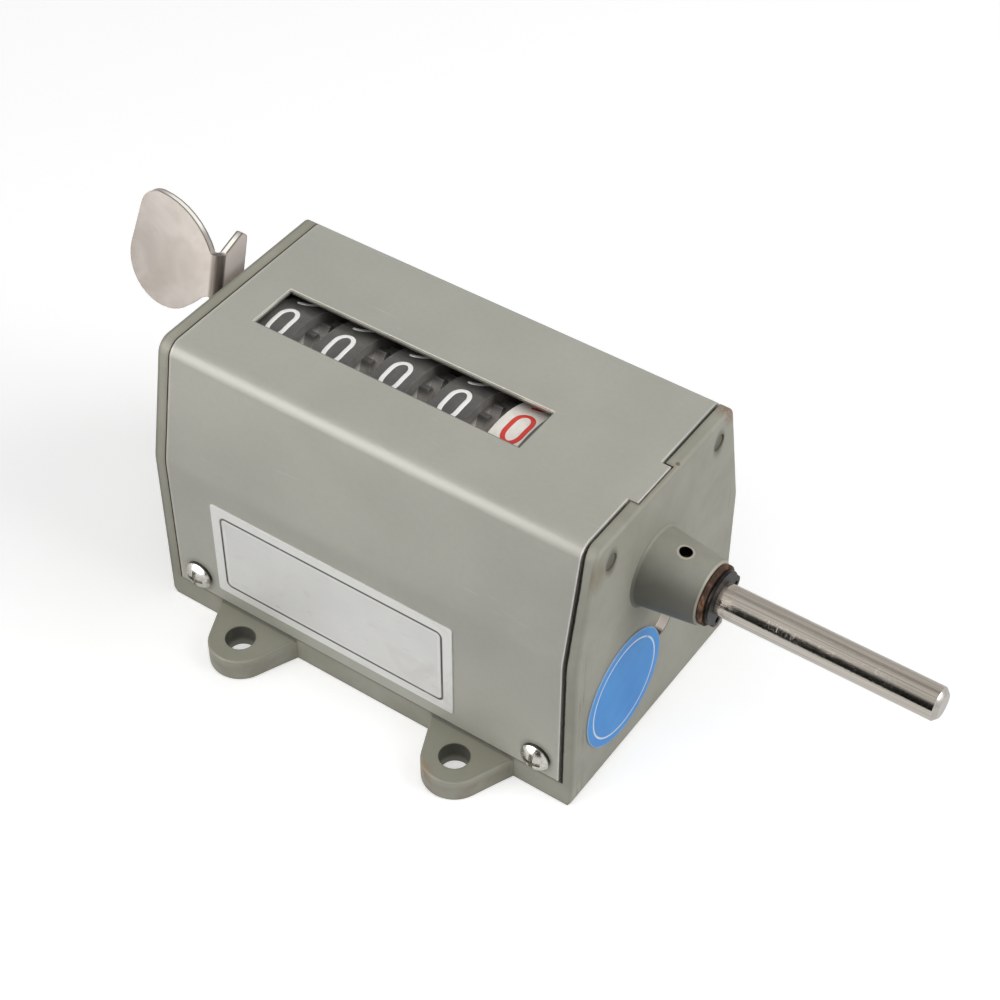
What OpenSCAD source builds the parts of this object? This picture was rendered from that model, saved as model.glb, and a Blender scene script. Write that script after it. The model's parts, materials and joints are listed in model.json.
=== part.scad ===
// Resettable rotary counter with a drive shaft on the right and a reset key on the left.
// Millimetres. Origin: centre of the four mounting holes, on the underside of the base.
// +X runs along the drive shaft, -Y is the front, +Z is up.

/* [Case] */
// Width of the case at its base
case_w = 51.3; // [50.5:0.1:58]
// Width across the flat top
top_w = 41.8; // [38:0.1:45]
// Height where the sides begin to lean in
shoulder_z = 35.2; // [30:0.1:40]
// Thickness of the casting's floor
floor_t = 4; // [3:0.1:5]
// Full thickness of an end plate
plate_t = 5; // [4:0.1:7]
// Width of the end plate's rim that stays outside the cover
rim_t = 2.4; // [2:0.1:3.2]
// Height of the base rim under the cover's edge
base_rim_h = 5.2; // [5:0.1:7]
// Radius of the fold in front of the flat top
fold_r = 3; // [2:0.1:5]
// Radius of the fold behind the flat top
back_fold_r = 1.6; // [1.4:0.1:5]
// Radius of the bend at the shoulder
shoulder_r = 12; // [4:0.5:20]

/* [Cover] */
// Thickness of the cover sheet
sheet_t = 1; // [0.6:0.1:1.4]
// Gap between the cover's ends and the end plates
end_gap = 0.5; // [0.1:0.05:0.6]
// Clearance between the sheet and the casting inside it
nest_gap = 0.1; // [0.05:0.05:0.3]
// Length of the reading window
window_len = 55.8; // [50:0.1:58]
// Width of the reading window
window_w = 10.4; // [8:0.1:12]
// Length of the locating tab on the right edge
tab_len = 10.1; // [6:0.1:14]
// How far the tab reaches into the end plate
tab_out = 1.3; // [0.8:0.1:1.6]
// Gap round the tab in its notch
tab_gap = 0.3; // [0.1:0.05:0.5]
// Diameter of a cover screw
screw_d = 3; // [2.5:0.1:4]
// Length of a cover screw under its head
screw_len = 8; // [6:0.5:10]
// Height of the cover screws
screw_z = 9; // [8:0.1:12]
// Distance of the cover screws from the outer face of the end plate
screw_in = 7.5; // [6.5:0.1:9]

/* [Mounting ears] */
// Distance between the holes along the case
hole_pitch_x = 48; // [40:0.5:60]
// Distance of a hole from the side of the case
hole_out = 5.35; // [5:0.05:9]
// Diameter of a mounting hole
hole_d = 5.5; // [4.5:0.1:6.6]
// Thickness of an ear
ear_t = 4.8; // [3:0.1:5]
// Radius of an ear's round end
ear_r = 6; // [5:0.1:7]
// Width of an ear where it meets the case
ear_base_w = 17.6; // [15:0.1:20]

/* [Shafts] */
// Height of the wheel axis above the base
axis_z = 40.9; // [39:0.1:45]
// How far the wheel axis lies in front of the middle of the case
axis_front = 2.4; // [0:0.1:3]
// Diameter of the drive shaft
shaft_d = 6; // [5:0.1:7]
// Length of the drive shaft outside the retaining ring
shaft_free = 40; // [20:0.1:60]
// Chamfer on the end of the drive shaft
shaft_chamfer = 0.8; // [0.3:0.1:1.2]
// Diameter of the wheel axle
axle_d = 6; // [5:0.1:7]
// Diameter of the axle's pilot in the end of the drive shaft
pilot_d = 3; // [2:0.1:3.2]
// Wall of the bushes
bush_wall = 1.5; // [1:0.1:2]
// Radial clearance of parts that turn on one another
run_gap = 0.05; // [0.02:0.01:0.1]
// Radial clearance of parts that are pressed or pinned together
fit_gap = 0.02; // [0.01:0.01:0.04]
// Gap between faces that turn past one another
face_gap = 0.3; // [0.2:0.05:0.5]

/* [Bearing hub] */
// Length of the hub
hub_len = 11.2; // [6:0.1:14]
// Diameter of the hub at the end plate
hub_base_d = 14.4; // [14:0.1:18]
// Diameter of the hub at its end
hub_end_d = 11.8; // [11.4:0.1:13.5]
// Fillet between the hub and the end plate
hub_fillet = 0.6; // [0.4:0.1:1.6]
// Diameter of the oil hole
oil_d = 2.2; // [1.5:0.1:3]
// Length of the boss for the reset axle
boss_len = 1.6; // [1.2:0.1:5]
// Diameter of the boss for the reset axle
boss_d = 15; // [13:0.1:18]

/* [Number wheels] */
// Diameter of a number wheel
wheel_d = 32.8; // [32:0.1:34]
// Width of the digit band
rim_w = 7.5; // [7:0.1:8]
// Distance between neighbouring wheels
wheel_pitch = 12.3; // [12.1:0.05:14]
// Gap between the wheels and the cover above them
wheel_top_gap = 0.7; // [0.5:0.1:2]
// Thickness of the digit band's wall
rim_wall = 1.8; // [1.5:0.1:2]
// Thickness of a wheel's web
web_t = 2; // [1.2:0.1:2.5]
// Diameter of a wheel's hub
wheel_hub_d = 12; // [10.5:0.1:13]

/* [Transfer gears] */
// Module of the transfer gears
gear_m = 1.36; // [1.32:0.01:1.38]
// Pressure angle of the transfer gears
pressure = 25; // [24:0.5:26]
// Play between meshing teeth
backlash = 0.35; // [0.2:0.05:0.5]
// Width of a wheel's driven gear
gear_w = 2; // [1.6:0.1:2.1]
// Thickness of a wheel's carry disc
carry_w = 1.8; // [1.4:0.1:2]
// How far behind straight down the transfer shaft lies
transfer_turn = 40; // [34:1:46]
// Diameter of the transfer shaft
transfer_d = 3; // [2.5:0.1:3.4]

/* [Clutch] */
// Diameter of the drive disc
disc_d = 24; // [20:0.5:28]
// Thickness of the drive disc
disc_t = 3; // [2:0.1:4]
// Length of the drive disc's boss
disc_boss = 2.5; // [2:0.1:4]
// Free height of the dished clutch spring
spring_h = 2.2; // [1.6:0.1:3]
// Thickness of the clutch spring
spring_t = 0.5; // [0.3:0.05:0.8]
// Length of the thrust collar
collar_len = 8.4; // [5:0.1:10]
// Diameter of the thrust collar
collar_d = 13; // [11:0.1:16]
// Diameter of the collar's cross pin
pin_d = 2.5; // [2:0.1:3]

/* [Reset key] */
// Thickness of the key's sheet
key_t = 1.4; // [0.8:0.1:1.6]
// How far the key leans back
key_lean = 15; // [0:1:360]
// Width of the key's arm
arm_w = 7.7; // [7:0.1:10]
// Length of the arm above the axis
arm_len = 23.9; // [23:0.1:27]
// Lower end of the fold, above the axis
fold_low = 12.5; // [11.8:0.1:13.5]
// Upper end of the fold, above the axis
fold_high = 21; // [20:0.1:21.4]
// Reach of the wing beside the arm
wing_reach = 20.2; // [19.5:0.1:23]
// Radius of the wing's lower lobe
low_lobe_r = 8.4; // [8:0.1:9]
// Height of the lower lobe's middle above the axis
low_lobe_z = 15; // [14.5:0.1:15.5]
// Radius of the wing's upper lobe
high_lobe_r = 4.3; // [3.9:0.1:4.8]
// Height of the upper lobe's middle above the axis
high_lobe_z = 24.2; // [23.5:0.1:25]
// Width across the flats of the key nut
nut_af = 8; // [7:0.1:9]
// Height of the key nut
nut_h = 3.4; // [2.5:0.1:4]

/* [Plates] */
// Width of the name plate
plate_w = 52.8; // [40:0.1:58]
// Height of the name plate
plate_h = 21.9; // [14:0.1:23]
// Middle of the name plate, left of the middle of the case
plate_left = 6.3; // [4:0.1:7]
// Lower edge of the name plate
plate_z = 8.3; // [8:0.1:11]
// Diameter of the round label
label_d = 23; // [18:0.1:25]
// How far the round label lies in front of the middle of the case
label_front = 10.5; // [9:0.1:11]
// Height of the round label's middle
label_z = 17.6; // [16.5:0.1:18.5]
// Thickness of the plate and the label
label_t = 0.3; // [0.1:0.05:0.5]

/* [Hidden] */
$fn = 64;
eps = 0.01;
corner_steps = 8;

WHEELS = ["ten_thousands_wheel", "thousands_wheel", "hundreds_wheel", "tens_wheel", "units_wheel"];
PAWLS = ["ten_thousands_pawl", "thousands_pawl", "hundreds_pawl", "tens_pawl", "units_pawl"];
PINIONS = ["ten_thousands_pinion", "thousands_pinion", "hundreds_pinion", "tens_pinion"];

// The wheel axis, seen from the middle of the case
axis_y = -axis_front;

// Radii of the shafts and of what runs on them
shaft_r = shaft_d / 2;
axle_r = axle_d / 2;
pilot_r = pilot_d / 2;
transfer_r = transfer_d / 2;
wheel_r = wheel_d / 2;
wheel_hub_r = wheel_hub_d / 2;
drive_bush_r = shaft_r + bush_wall;
reset_bush_r = axle_r + bush_wall;

// The stack of wheels sets the length of the case
wheel_count = len(WHEELS);
hub_gap = 0.3;
wheel_hub_len = wheel_pitch - hub_gap;
axle_collar_t = 1.5;
axle_collar_step = 0.5;
axle_collar_r = wheel_hub_r - axle_collar_step;
left_room = axle_collar_t + 2 * face_gap;
stack_len = wheel_count * wheel_pitch - hub_gap;
clutch_len = disc_t + disc_boss + spring_h + collar_len;
right_room = clutch_len + 2 * face_gap;
case_len = 2 * plate_t + left_room + stack_len + right_room;
case_x = case_len / 2;
inner_x = case_x - plate_t;
cover_x = case_x - rim_t;
stack_x = -inner_x + left_room;
function wheel_x(i) = stack_x + wheel_hub_len / 2 + i * wheel_pitch;
stack_end = stack_x + stack_len;
window_right = wheel_x(wheel_count - 1) + rim_w / 2;

// The wheels set the height of the case
case_h = axis_z + wheel_r + wheel_top_gap + sheet_t;
lean = (case_w - top_w) / 2 / (case_h - shoulder_z);
hole_pitch_y = case_w + 2 * hole_out;
half_w = case_w / 2;

// Clutch pieces along the drive shaft, from the units wheel to the hub
disc_x = stack_end + face_gap;
spring_x = disc_x + disc_t + disc_boss;
collar_x = spring_x + spring_h;
collar_end = collar_x + collar_len;
flat_depth = 0.8;

// Retaining pieces outside the hub
hub_x = case_x + hub_len;
washer_t = 0.8;
washer_x = hub_x + face_gap / 2;
washer_step = 0.4;
washer_r = hub_end_d / 2 - washer_step;
ring_t = 0.8;
ring_x = washer_x + washer_t + face_gap / 3;
ring_groove = 0.3;
ring_wall = 1.9;
ring_r = shaft_r + ring_wall;
ring_play = 0.1;
ring_lug_r = 1.5;
ring_lug_hole_r = 0.55;
ring_lug_out = 1.2;
ring_lug_at = shaft_r + ring_lug_out;
ring_start = -3;
ring_sweep = 256;
ring_groove_w = ring_t + ring_play;
shaft_tip = ring_x + ring_groove_w + shaft_free;

// Transfer gears
gear_teeth = 20;
pinion_teeth = 8;
pinion_long_teeth = 4;
gear_pitch_r = gear_m * gear_teeth / 2;
pinion_pitch_r = gear_m * pinion_teeth / 2;
centre_dist = gear_pitch_r + pinion_pitch_r;
tip_gap = 0.4;
gear_add = 0.7 * gear_m;
pinion_add = 0.8 * gear_m;
carry_short = 0.3 * gear_m;
carry_tooth_h = 1.5 * gear_m;
long_root_step = 1;
gear_tip_r = gear_pitch_r + gear_add;
pinion_tip_r = pinion_pitch_r + pinion_add;
gear_root_r = centre_dist - pinion_tip_r - tip_gap;
pinion_root_r = centre_dist - gear_tip_r - tip_gap;
carry_tip_r = gear_pitch_r - carry_short;
long_tip_r = centre_dist - carry_tip_r - tip_gap;
carry_r = carry_tip_r - carry_tooth_h;
transfer_y = axis_y + centre_dist * sin(transfer_turn);
transfer_z = axis_z - centre_dist * cos(transfer_turn);
pinion_side_gap = 0.4;
gap_w = wheel_pitch - rim_w;
pinion_w = gap_w - 2 * pinion_side_gap;
pinion_split = (gear_w + gap_w - carry_w) / 2 - pinion_side_gap;
function pinion_x(i) = wheel_x(i) + rim_w / 2 + pinion_side_gap;
spacer_wall = 0.7;
spacer_r = transfer_r + spacer_wall;
clip_t = 0.6;
clip_groove = 0.4;
clip_wall = 1.2;
clip_r = transfer_r + clip_wall;
clip_gap = 0.1;
clip_left_x = -inner_x + clip_gap;
clip_right_x = inner_x - clip_gap - clip_t;
transfer_skin = 2;
transfer_seat = plate_t - transfer_skin;
transfer_end_gap = 0.2;
transfer_end = inner_x + transfer_seat - transfer_end_gap;

// Reset pawls and the groove they drop into
rim_in_r = wheel_r - rim_wall;
pawl_t = 2;
pawl_turn = 40;
pawl_pivot_at = (wheel_hub_r + rim_in_r) / 2;
pawl_pivot_r = 1;
pawl_eye_r = 1.9;
pawl_nose_w = 1.6;
pawl_clear = 0.25;
pawl_pivot = pawl_pivot_at * [sin(pawl_turn), cos(pawl_turn)];
pawl_x = -pawl_t / 2;
slot_play = 1.4;
slot_w = pawl_nose_w + slot_play;
groove_w = 1.8;
groove_depth = 1;

// Reset key along the axle, from the left bush outwards
flange_t = 1;
flange_wall = 1.6;
flange_r = reset_bush_r + flange_wall;
boss_x = -case_x - boss_len;
key_right = boss_x - flange_t - face_gap;
key_left = key_right - key_t;
seat_step = 0.5;
seat_r = axle_r - seat_step;
seat_flat = 0.6;
key_washer_t = 1.2;
key_washer_wall = 2;
key_washer_r = seat_r + key_washer_wall;
key_washer_split = 0.6;
nut_left = key_left - key_washer_t - nut_h;
axle_end = 1.2;
axle_left = nut_left - axle_end;
key_hub_r = 6.5;
bend_r = 1.9;
neck_run = 1.5;
neck_drop = 0.9;
arm_front = -arm_w / 2;
lobe_step = 2.4;
low_lobe = [wing_reach - low_lobe_r, low_lobe_z];
high_lobe = [low_lobe[0] + lobe_step, high_lobe_z];
lobe_line = high_lobe - low_lobe;
side_turn = atan2(lobe_line[1], lobe_line[0]) - acos((low_lobe_r - high_lobe_r) / norm(lobe_line));
neck = [bend_r + neck_run, fold_low - neck_drop];
neck_line = neck - low_lobe;
neck_turn = atan2(neck_line[1], neck_line[0]) + acos(low_lobe_r / norm(neck_line));
wing_top = high_lobe_z + high_lobe_r;
crown_run = high_lobe[0] - bend_r;
crown_drop = wing_top - fold_high;
crown_r = (crown_run * crown_run + crown_drop * crown_drop) / crown_drop / 2;
crown = [high_lobe[0], wing_top - crown_r];
crown_turn = atan2(fold_high - crown[1], -crown_run);
arm_top_y = 2.4;
arm_top_drop = 0.6;
arm_corner_r = 1.4;
arm_peak_r = 0.6;

// Cover screws and the posts that they enter
screw_r = screw_d / 2;
screw_x = case_x - screw_in;
head_r = screw_r * 1.93;
head_h = screw_r * 1.35;
head_edge = 0.7;
cover_hole_gap = 0.2;
post_wall = 2.5;
post_half = screw_r + post_wall;
post_back = 3;
post_depth = screw_len + post_back;
recess_w = screw_r * 0.55;
recess_len = head_r * 1.2;
recess_depth = head_h * 0.6;
lip_t = 2;
lip_h = 2.5;
ledge_w = sheet_t + nest_gap + lip_t;

// Bevel under the end plates
bevel_w = 0.8;
bevel_h = 1.2;

// Marks on the right end plate
recess_r = 4.2;
recess_y = 1;
recess_z = 24.2;
recess_deep = 1.6;
dimple_r = 1.6;
dimple_deep = 0.4;
dimple_down = 5;
dimple_in = 4.2;
label_corner_r = 0.5;

// Points along an arc
function arc(c, r, a0, a1, n) =
    [for (i = [0:n]) c + r * [cos(a0 + (a1 - a0) * i / n), sin(a0 + (a1 - a0) * i / n)]];
function unit(v) = v / norm(v);

// One corner of an outline, rounded
function corner(a, b, c, r) =
    let (
        u = unit(a - b),
        v = unit(c - b),
        half = acos(u * v) / 2,
        m = b + unit(u + v) * r / sin(half),
        s = b + u * r / tan(half) - m,
        e = b + v * r / tan(half) - m,
        a0 = atan2(s[1], s[0]),
        turn = (atan2(e[1], e[0]) - a0 + 540) % 360 - 180
    )
    arc(m, r, a0, a0 + turn, corner_steps);
function rounded(p, r) =
    [for (i = [0:len(p) - 1])
        each r[i] > 0 ? corner(p[(i + len(p) - 1) % len(p)], p[i], p[(i + 1) % len(p)], r[i]) : [p[i]]];

// Cross-section of the case, drawn in by a distance d
slant = sqrt(1 + lean * lean);
function section_points(d) =
    let (
        y = half_w - d,
        zs = shoulder_z - d * (slant - 1) / lean,
        yt = top_w / 2 + lean * d - slant * d,
        zt = case_h - d
    )
    [[y, 0], [y, zs], [yt, zt], [-yt, zt], [-y, zs], [-y, 0]];
function section(d) =
    rounded(section_points(d),
        [0, shoulder_r - d, back_fold_r - d, fold_r - d, shoulder_r - d, 0]);

// Involute teeth
function roll(rb, r) = r > rb ? acos(rb / r) : 0;
function inv(a) = tan(a) * 180 / PI - a;
function flank(n, rp, r) =
    90 / n - backlash / 4 / rp * 180 / PI + inv(pressure) - inv(roll(rp * cos(pressure), r));
flank_steps = 5;
function tooth(n, rp, root, tip, at) =
    let (
        rb = rp * cos(pressure),
        low = max(root, rb),
        rs = concat(root < rb ? [root] : [], [for (i = [0:flank_steps]) low + (tip - low) * i / flank_steps])
    )
    concat(
        [for (r = rs) r * [cos(at - flank(n, rp, r)), sin(at - flank(n, rp, r))]],
        [for (i = [len(rs) - 1:-1:0]) rs[i] * [cos(at + flank(n, rp, rs[i])), sin(at + flank(n, rp, rs[i]))]]
    );
function gear(n, rp, root, tip, first, every) =
    [for (i = [0:every:n - 1]) each tooth(n, rp, root, tip, first + i * 360 / n)];

// Direction of the transfer shaft seen from the wheel axis, in the plane of the wheels
transfer_dir = atan2(transfer_z - axis_z, transfer_y - axis_y);

// Extrudes a (y, z) outline along x
module along_x(x, length) {
    translate([x, 0, 0])
        rotate([90, 0, 90])
            linear_extrude(length)
                children();
}

// Round bar along x between two places, on the wheel axis unless moved
module bar(x0, x1, r, y = axis_y, z = axis_z) {
    translate([x0, y, z])
        rotate([0, 90, 0])
            cylinder(h = x1 - x0, r = r);
}

module tube(x0, x1, r, r_in, y = axis_y, z = axis_z) {
    difference() {
        bar(x0, x1, r, y, z);
        bar(x0 - 1, x1 + 1, r_in, y, z);
    }
}

// Puts children at the four corners of the case, made for the front right one
module four_corners() {
    for (sx = [0, 1])
        for (sy = [0, 1])
            mirror([sx, 0, 0])
                mirror([0, sy, 0])
                    children();
}

// One mounting ear: a round end with tangent sides
module ear() {
    h = hole_out;
    b = ear_base_w / 2;
    turn = atan2(h, b) - acos(ear_r / norm([b, h]));
    t = [ear_r * cos(turn), -h + ear_r * sin(turn)];
    translate([hole_pitch_x / 2, -half_w, 0])
        linear_extrude(ear_t) {
            translate([0, -h])
                circle(ear_r);
            polygon([[-b, ledge_w], [-b, 0], [-t[0], t[1]], t, [b, 0], [b, ledge_w]]);
        }
}

// Post behind a cover screw, joined to the end plate and the floor
module screw_post() {
    y0 = -half_w + sheet_t + nest_gap;
    translate([screw_x - post_half, y0, 0])
        cube([inner_x - screw_x + post_half + eps, post_depth, screw_z + post_half]);
}

module screw_hole(r) {
    translate([screw_x, -half_w - 1, screw_z])
        rotate([-90, 0, 0])
            cylinder(h = screw_len + 2, r = r);
}

module end_plate() {
    along_x(cover_x, rim_t)
        polygon(section(0));
    along_x(inner_x, plate_t - rim_t + eps)
        polygon(section(sheet_t + nest_gap));
}

// Bevel along the lower outer edge of an end plate
module foot_bevel() {
    translate([case_x, case_w, 0])
        rotate([90, 0, 0])
            linear_extrude(2 * case_w)
                polygon([[1, -1], [1, bevel_h], [0, bevel_h], [-bevel_w, 0], [-bevel_w, -1]]);
}

// Conical bearing hub with a fillet at its foot
module hub_cone() {
    rb = hub_base_d / 2;
    re = hub_end_d / 2;
    slope = (rb - re) / hub_len;
    edge = 0.4;
    profile = concat(
        [[0, 0]],
        arc([rb + hub_fillet, hub_fillet], hub_fillet, 270, 180 + atan(slope), corner_steps),
        [[re + slope * edge, hub_len - edge], [re - edge, hub_len], [0, hub_len]]
    );
    translate([case_x - eps, axis_y, axis_z])
        rotate([0, 90, 0])
            rotate_extrude()
                polygon(profile);
}

module frame() {
    color("#8f8d7c")
        difference() {
            union() {
                translate([-inner_x - eps, -half_w, 0])
                    cube([2 * inner_x + 2 * eps, case_w, floor_t]);
                for (sy = [0, 1])
                    mirror([0, sy, 0]) {
                        translate([-inner_x - eps, -half_w, 0])
                            cube([2 * inner_x + 2 * eps, ledge_w, base_rim_h - nest_gap]);
                        translate([-inner_x - eps, -half_w + sheet_t + nest_gap, 0])
                            cube([2 * inner_x + 2 * eps, lip_t, base_rim_h + lip_h]);
                    }
                for (sx = [0, 1])
                    mirror([sx, 0, 0])
                        end_plate();
                for (sx = [-1, 1])
                    translate([sx > 0 ? inner_x : -case_x, -half_w, 0])
                        cube([plate_t, case_w, base_rim_h - nest_gap]);
                four_corners() {
                    ear();
                    screw_post();
                }
                hub_cone();
                bar(boss_x, -case_x + eps, boss_d / 2);
            }
            four_corners() {
                translate([hole_pitch_x / 2, -hole_pitch_y / 2, -1])
                    cylinder(h = ear_t + 2, r = hole_d / 2);
                screw_hole(screw_r + run_gap);
            }
            bar(inner_x - 1, hub_x + 1, drive_bush_r + fit_gap);
            bar(boss_x - 1, -inner_x + 1, reset_bush_r + fit_gap);
            bar(-inner_x - transfer_seat, inner_x + transfer_seat, transfer_r + fit_gap,
                transfer_y, transfer_z);
            translate([case_x + hub_len / 2, axis_y, axis_z])
                cylinder(h = hub_base_d, r = oil_d / 2);
            tab_notch();
            for (sx = [0, 1])
                mirror([sx, 0, 0])
                    foot_bevel();
            bar(case_x - recess_deep, case_x + 1, recess_r, recess_y, recess_z);
            for (sy = [-1, 1])
                bar(case_x - dimple_deep, case_x + 1, dimple_r,
                    sy * (top_w / 2 - dimple_in), case_h - dimple_down);
        }
}

// Locating tab on the cover's right edge, and the notch that takes it
module tab_block(grow) {
    translate([cover_x - 2 * end_gap, axis_y - tab_len / 2 - grow, case_h - sheet_t - grow])
        cube([tab_out + grow + 2 * end_gap, tab_len + 2 * grow, sheet_t + 2 * grow]);
}

module tab_notch() {
    tab_block(tab_gap);
}

module cover() {
    left = -cover_x + end_gap / 2;
    color("#a6a79c")
        difference() {
            union() {
                along_x(left, cover_x - end_gap - left)
                    difference() {
                        polygon(section(0));
                        polygon(section(sheet_t));
                        translate([-case_w, -1])
                            square([2 * case_w, base_rim_h + 1]);
                    }
                tab_block(0);
            }
            translate([window_right - window_len, axis_y - window_w / 2, case_h - 2 * sheet_t])
                cube([window_len, window_w, 3 * sheet_t]);
            four_corners()
                screw_hole(screw_r + cover_hole_gap);
        }
}

// Pan-head screw along -y, with a cross recess
module pan_screw() {
    dome_r = (head_r * head_r + pow(head_h - head_edge, 2)) / 2 / (head_h - head_edge);
    dome = asin(head_r / dome_r);
    difference() {
        union() {
            rotate_extrude()
                polygon(concat(
                    [[0, 0], [head_r, 0]],
                    arc([0, head_h - dome_r], dome_r, 90 - dome, 90, corner_steps)
                ));
            translate([0, 0, -screw_len])
                cylinder(h = screw_len + eps, r = screw_r);
        }
        for (a = [0, 90])
            rotate(a)
                translate([-recess_len / 2, -recess_w / 2, head_h - recess_depth])
                    cube([recess_len, recess_w, recess_depth + 1]);
    }
}

module cover_screws() {
    color("#d4d4d0")
        four_corners()
            translate([screw_x, -half_w, screw_z])
                rotate([90, 0, 0])
                    pan_screw();
}

module name_plate() {
    w = plate_w / 2;
    outline = [[-w, 0], [w, 0], [w, plate_h], [-w, plate_h]];
    color("#e6e6e4")
        translate([-plate_left, -half_w, plate_z])
            rotate([90, 0, 0])
                linear_extrude(label_t)
                    polygon(rounded(outline, [for (p = outline) label_corner_r]));
}

module round_label() {
    color("#4f8fd8")
        bar(case_x, case_x + label_t, label_d / 2, -label_front, label_z);
}

module drive_bush() {
    color("#b08050")
        difference() {
            tube(inner_x, hub_x, drive_bush_r, shaft_r + run_gap);
            translate([case_x + hub_len / 2, axis_y, axis_z])
                cylinder(h = hub_base_d, r = oil_d / 2);
        }
}

module reset_bush() {
    color("#b08050")
        difference() {
            union() {
                bar(boss_x, -inner_x, reset_bush_r);
                bar(boss_x - flange_t, boss_x, flange_r);
            }
            bar(boss_x - flange_t - 1, -inner_x + 1, axle_r + run_gap);
        }
}

// Flat that drives the disc and the spring
module shaft_section(r, depth) {
    difference() {
        circle(r);
        translate([-2 * r, r - depth])
            square(4 * r);
    }
}

module drive_shaft() {
    flat_x = disc_x + face_gap;
    groove_r = shaft_r - ring_groove;
    profile = [
        [0, flat_x], [shaft_r, flat_x], [shaft_r, ring_x], [groove_r, ring_x],
        [groove_r, ring_x + ring_groove_w], [shaft_r, ring_x + ring_groove_w],
        [shaft_r, shaft_tip - shaft_chamfer], [shaft_r - shaft_chamfer, shaft_tip], [0, shaft_tip],
    ];
    color("#c9c3bb")
        difference() {
            translate([0, axis_y, axis_z])
                rotate([0, 90, 0])
                    rotate_extrude()
                        polygon(profile);
            translate([flat_x - 1, axis_y - shaft_d, axis_z + shaft_r - flat_depth])
                cube([collar_x - flat_x + 1, 2 * shaft_d, shaft_d]);
            bar(flat_x - 1, collar_x, pilot_r + run_gap);
            translate([collar_x + collar_len / 2, axis_y, axis_z])
                cylinder(h = 4 * shaft_r, r = pin_d / 2 + fit_gap, center = true);
        }
}

// Open retaining ring with two lugs, snapped into the shaft's groove
module shaft_ring() {
    inner = shaft_r - ring_groove + fit_gap;
    ends = [ring_start, ring_start + ring_sweep];
    color("#4a4642")
        translate([0, axis_y, axis_z])
            along_x(ring_x + ring_play / 2, ring_t)
                difference() {
                    union() {
                        polygon(concat(
                            arc([0, 0], ring_r, ends[0], ends[1], 4 * corner_steps),
                            arc([0, 0], inner, ends[1], ends[0], 4 * corner_steps)
                        ));
                        for (a = ends)
                            rotate(a)
                                translate([ring_lug_at, 0])
                                    circle(ring_lug_r);
                    }
                    circle(inner);
                    for (a = ends)
                        rotate(a)
                            translate([ring_lug_at + ring_play, 0])
                                circle(ring_lug_hole_r);
                }
}

module thrust_washer() {
    color("#7a5a3c")
        tube(washer_x, washer_x + washer_t, washer_r, shaft_r + fit_gap);
}

module thrust_collar() {
    color("#9a9a98")
        difference() {
            tube(collar_x, collar_end, collar_d / 2, shaft_r + fit_gap);
            translate([collar_x + collar_len / 2, axis_y, axis_z])
                cylinder(h = 2 * collar_d, r = pin_d / 2 + fit_gap, center = true);
        }
}

module collar_pin() {
    color("#6e6e6c")
        translate([collar_x + collar_len / 2, axis_y, axis_z])
            cylinder(h = collar_d, r = pin_d / 2, center = true);
}

module drive_disc() {
    color("#8a8f94")
        translate([0, axis_y, axis_z])
            difference() {
                union() {
                    along_x(disc_x, disc_t)
                        circle(disc_d / 2);
                    along_x(disc_x, disc_t + disc_boss)
                        circle(collar_d / 2);
                }
                along_x(disc_x - 1, disc_t + disc_boss + 2)
                    shaft_section(shaft_r + fit_gap, flat_depth);
            }
}

// Dished spring between the collar and the disc
module clutch_spring() {
    r0 = shaft_r + fit_gap;
    r1 = collar_d / 2;
    lift = spring_h - spring_t;
    color("#a0a4a8")
        translate([spring_x, axis_y, axis_z])
            rotate([0, 90, 0])
                rotate_extrude()
                    polygon([[r0, lift], [r1, 0], [r1, spring_t], [r0, lift + spring_t]]);
}

// Two-tooth carry disc on a wheel's left side
module carry_outline() {
    step = 360 / gear_teeth;
    circle(carry_r);
    for (a = [-step / 2, step / 2])
        rotate(transfer_dir + 180 + a)
            polygon([
                [carry_r / 2, -gear_m], [carry_tip_r, -gear_m / 2],
                [carry_tip_r, gear_m / 2], [carry_r / 2, gear_m],
            ]);
}

module wheel(i) {
    units = i == wheel_count - 1;
    color(units ? "#e8e6e0" : "#2b2a2c")
        translate([wheel_x(i), axis_y, axis_z])
            difference() {
                union() {
                    along_x(-rim_w / 2, rim_w)
                        difference() {
                            circle(wheel_r);
                            circle(rim_in_r);
                        }
                    along_x(rim_w / 2 - web_t, web_t)
                        circle(rim_in_r + rim_wall / 2);
                    along_x(rim_w / 2 - eps, gear_w + eps)
                        polygon(gear(gear_teeth, gear_pitch_r, gear_root_r, gear_tip_r,
                            transfer_dir + 180 / gear_teeth, 1));
                    along_x(-rim_w / 2 - carry_w, carry_w)
                        carry_outline();
                    along_x(-wheel_hub_len / 2, wheel_hub_len)
                        circle(wheel_hub_r);
                    bar(pawl_x - face_gap, rim_w / 2 - eps, pawl_pivot_r, pawl_pivot[0], pawl_pivot[1]);
                }
                bar(-wheel_pitch, wheel_pitch, axle_r + run_gap, 0, 0);
                translate([pawl_x - face_gap, -slot_w / 2, 0])
                    cube([pawl_t + 2 * face_gap, slot_w, wheel_hub_r + 1]);
            }
}

// Lever that drops into the axle's groove when the key turns
module pawl(i) {
    nose = axle_r + pawl_clear;
    elbow = [0, wheel_hub_r + pawl_nose_w];
    side = pawl_nose_w / 2;
    color("#b9a26a")
        translate([wheel_x(i), axis_y, axis_z])
            along_x(pawl_x, pawl_t)
                difference() {
                    union() {
                        translate(pawl_pivot)
                            circle(pawl_eye_r);
                        polygon([
                            [-side, nose], [side, nose], [side, elbow[1] - side],
                            pawl_pivot - [0, pawl_eye_r * 0.8],
                            pawl_pivot + pawl_eye_r * [-0.5, 0.6],
                            [-side, elbow[1] + side],
                        ]);
                    }
                    translate(pawl_pivot)
                        circle(pawl_pivot_r + run_gap);
                }
}

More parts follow.
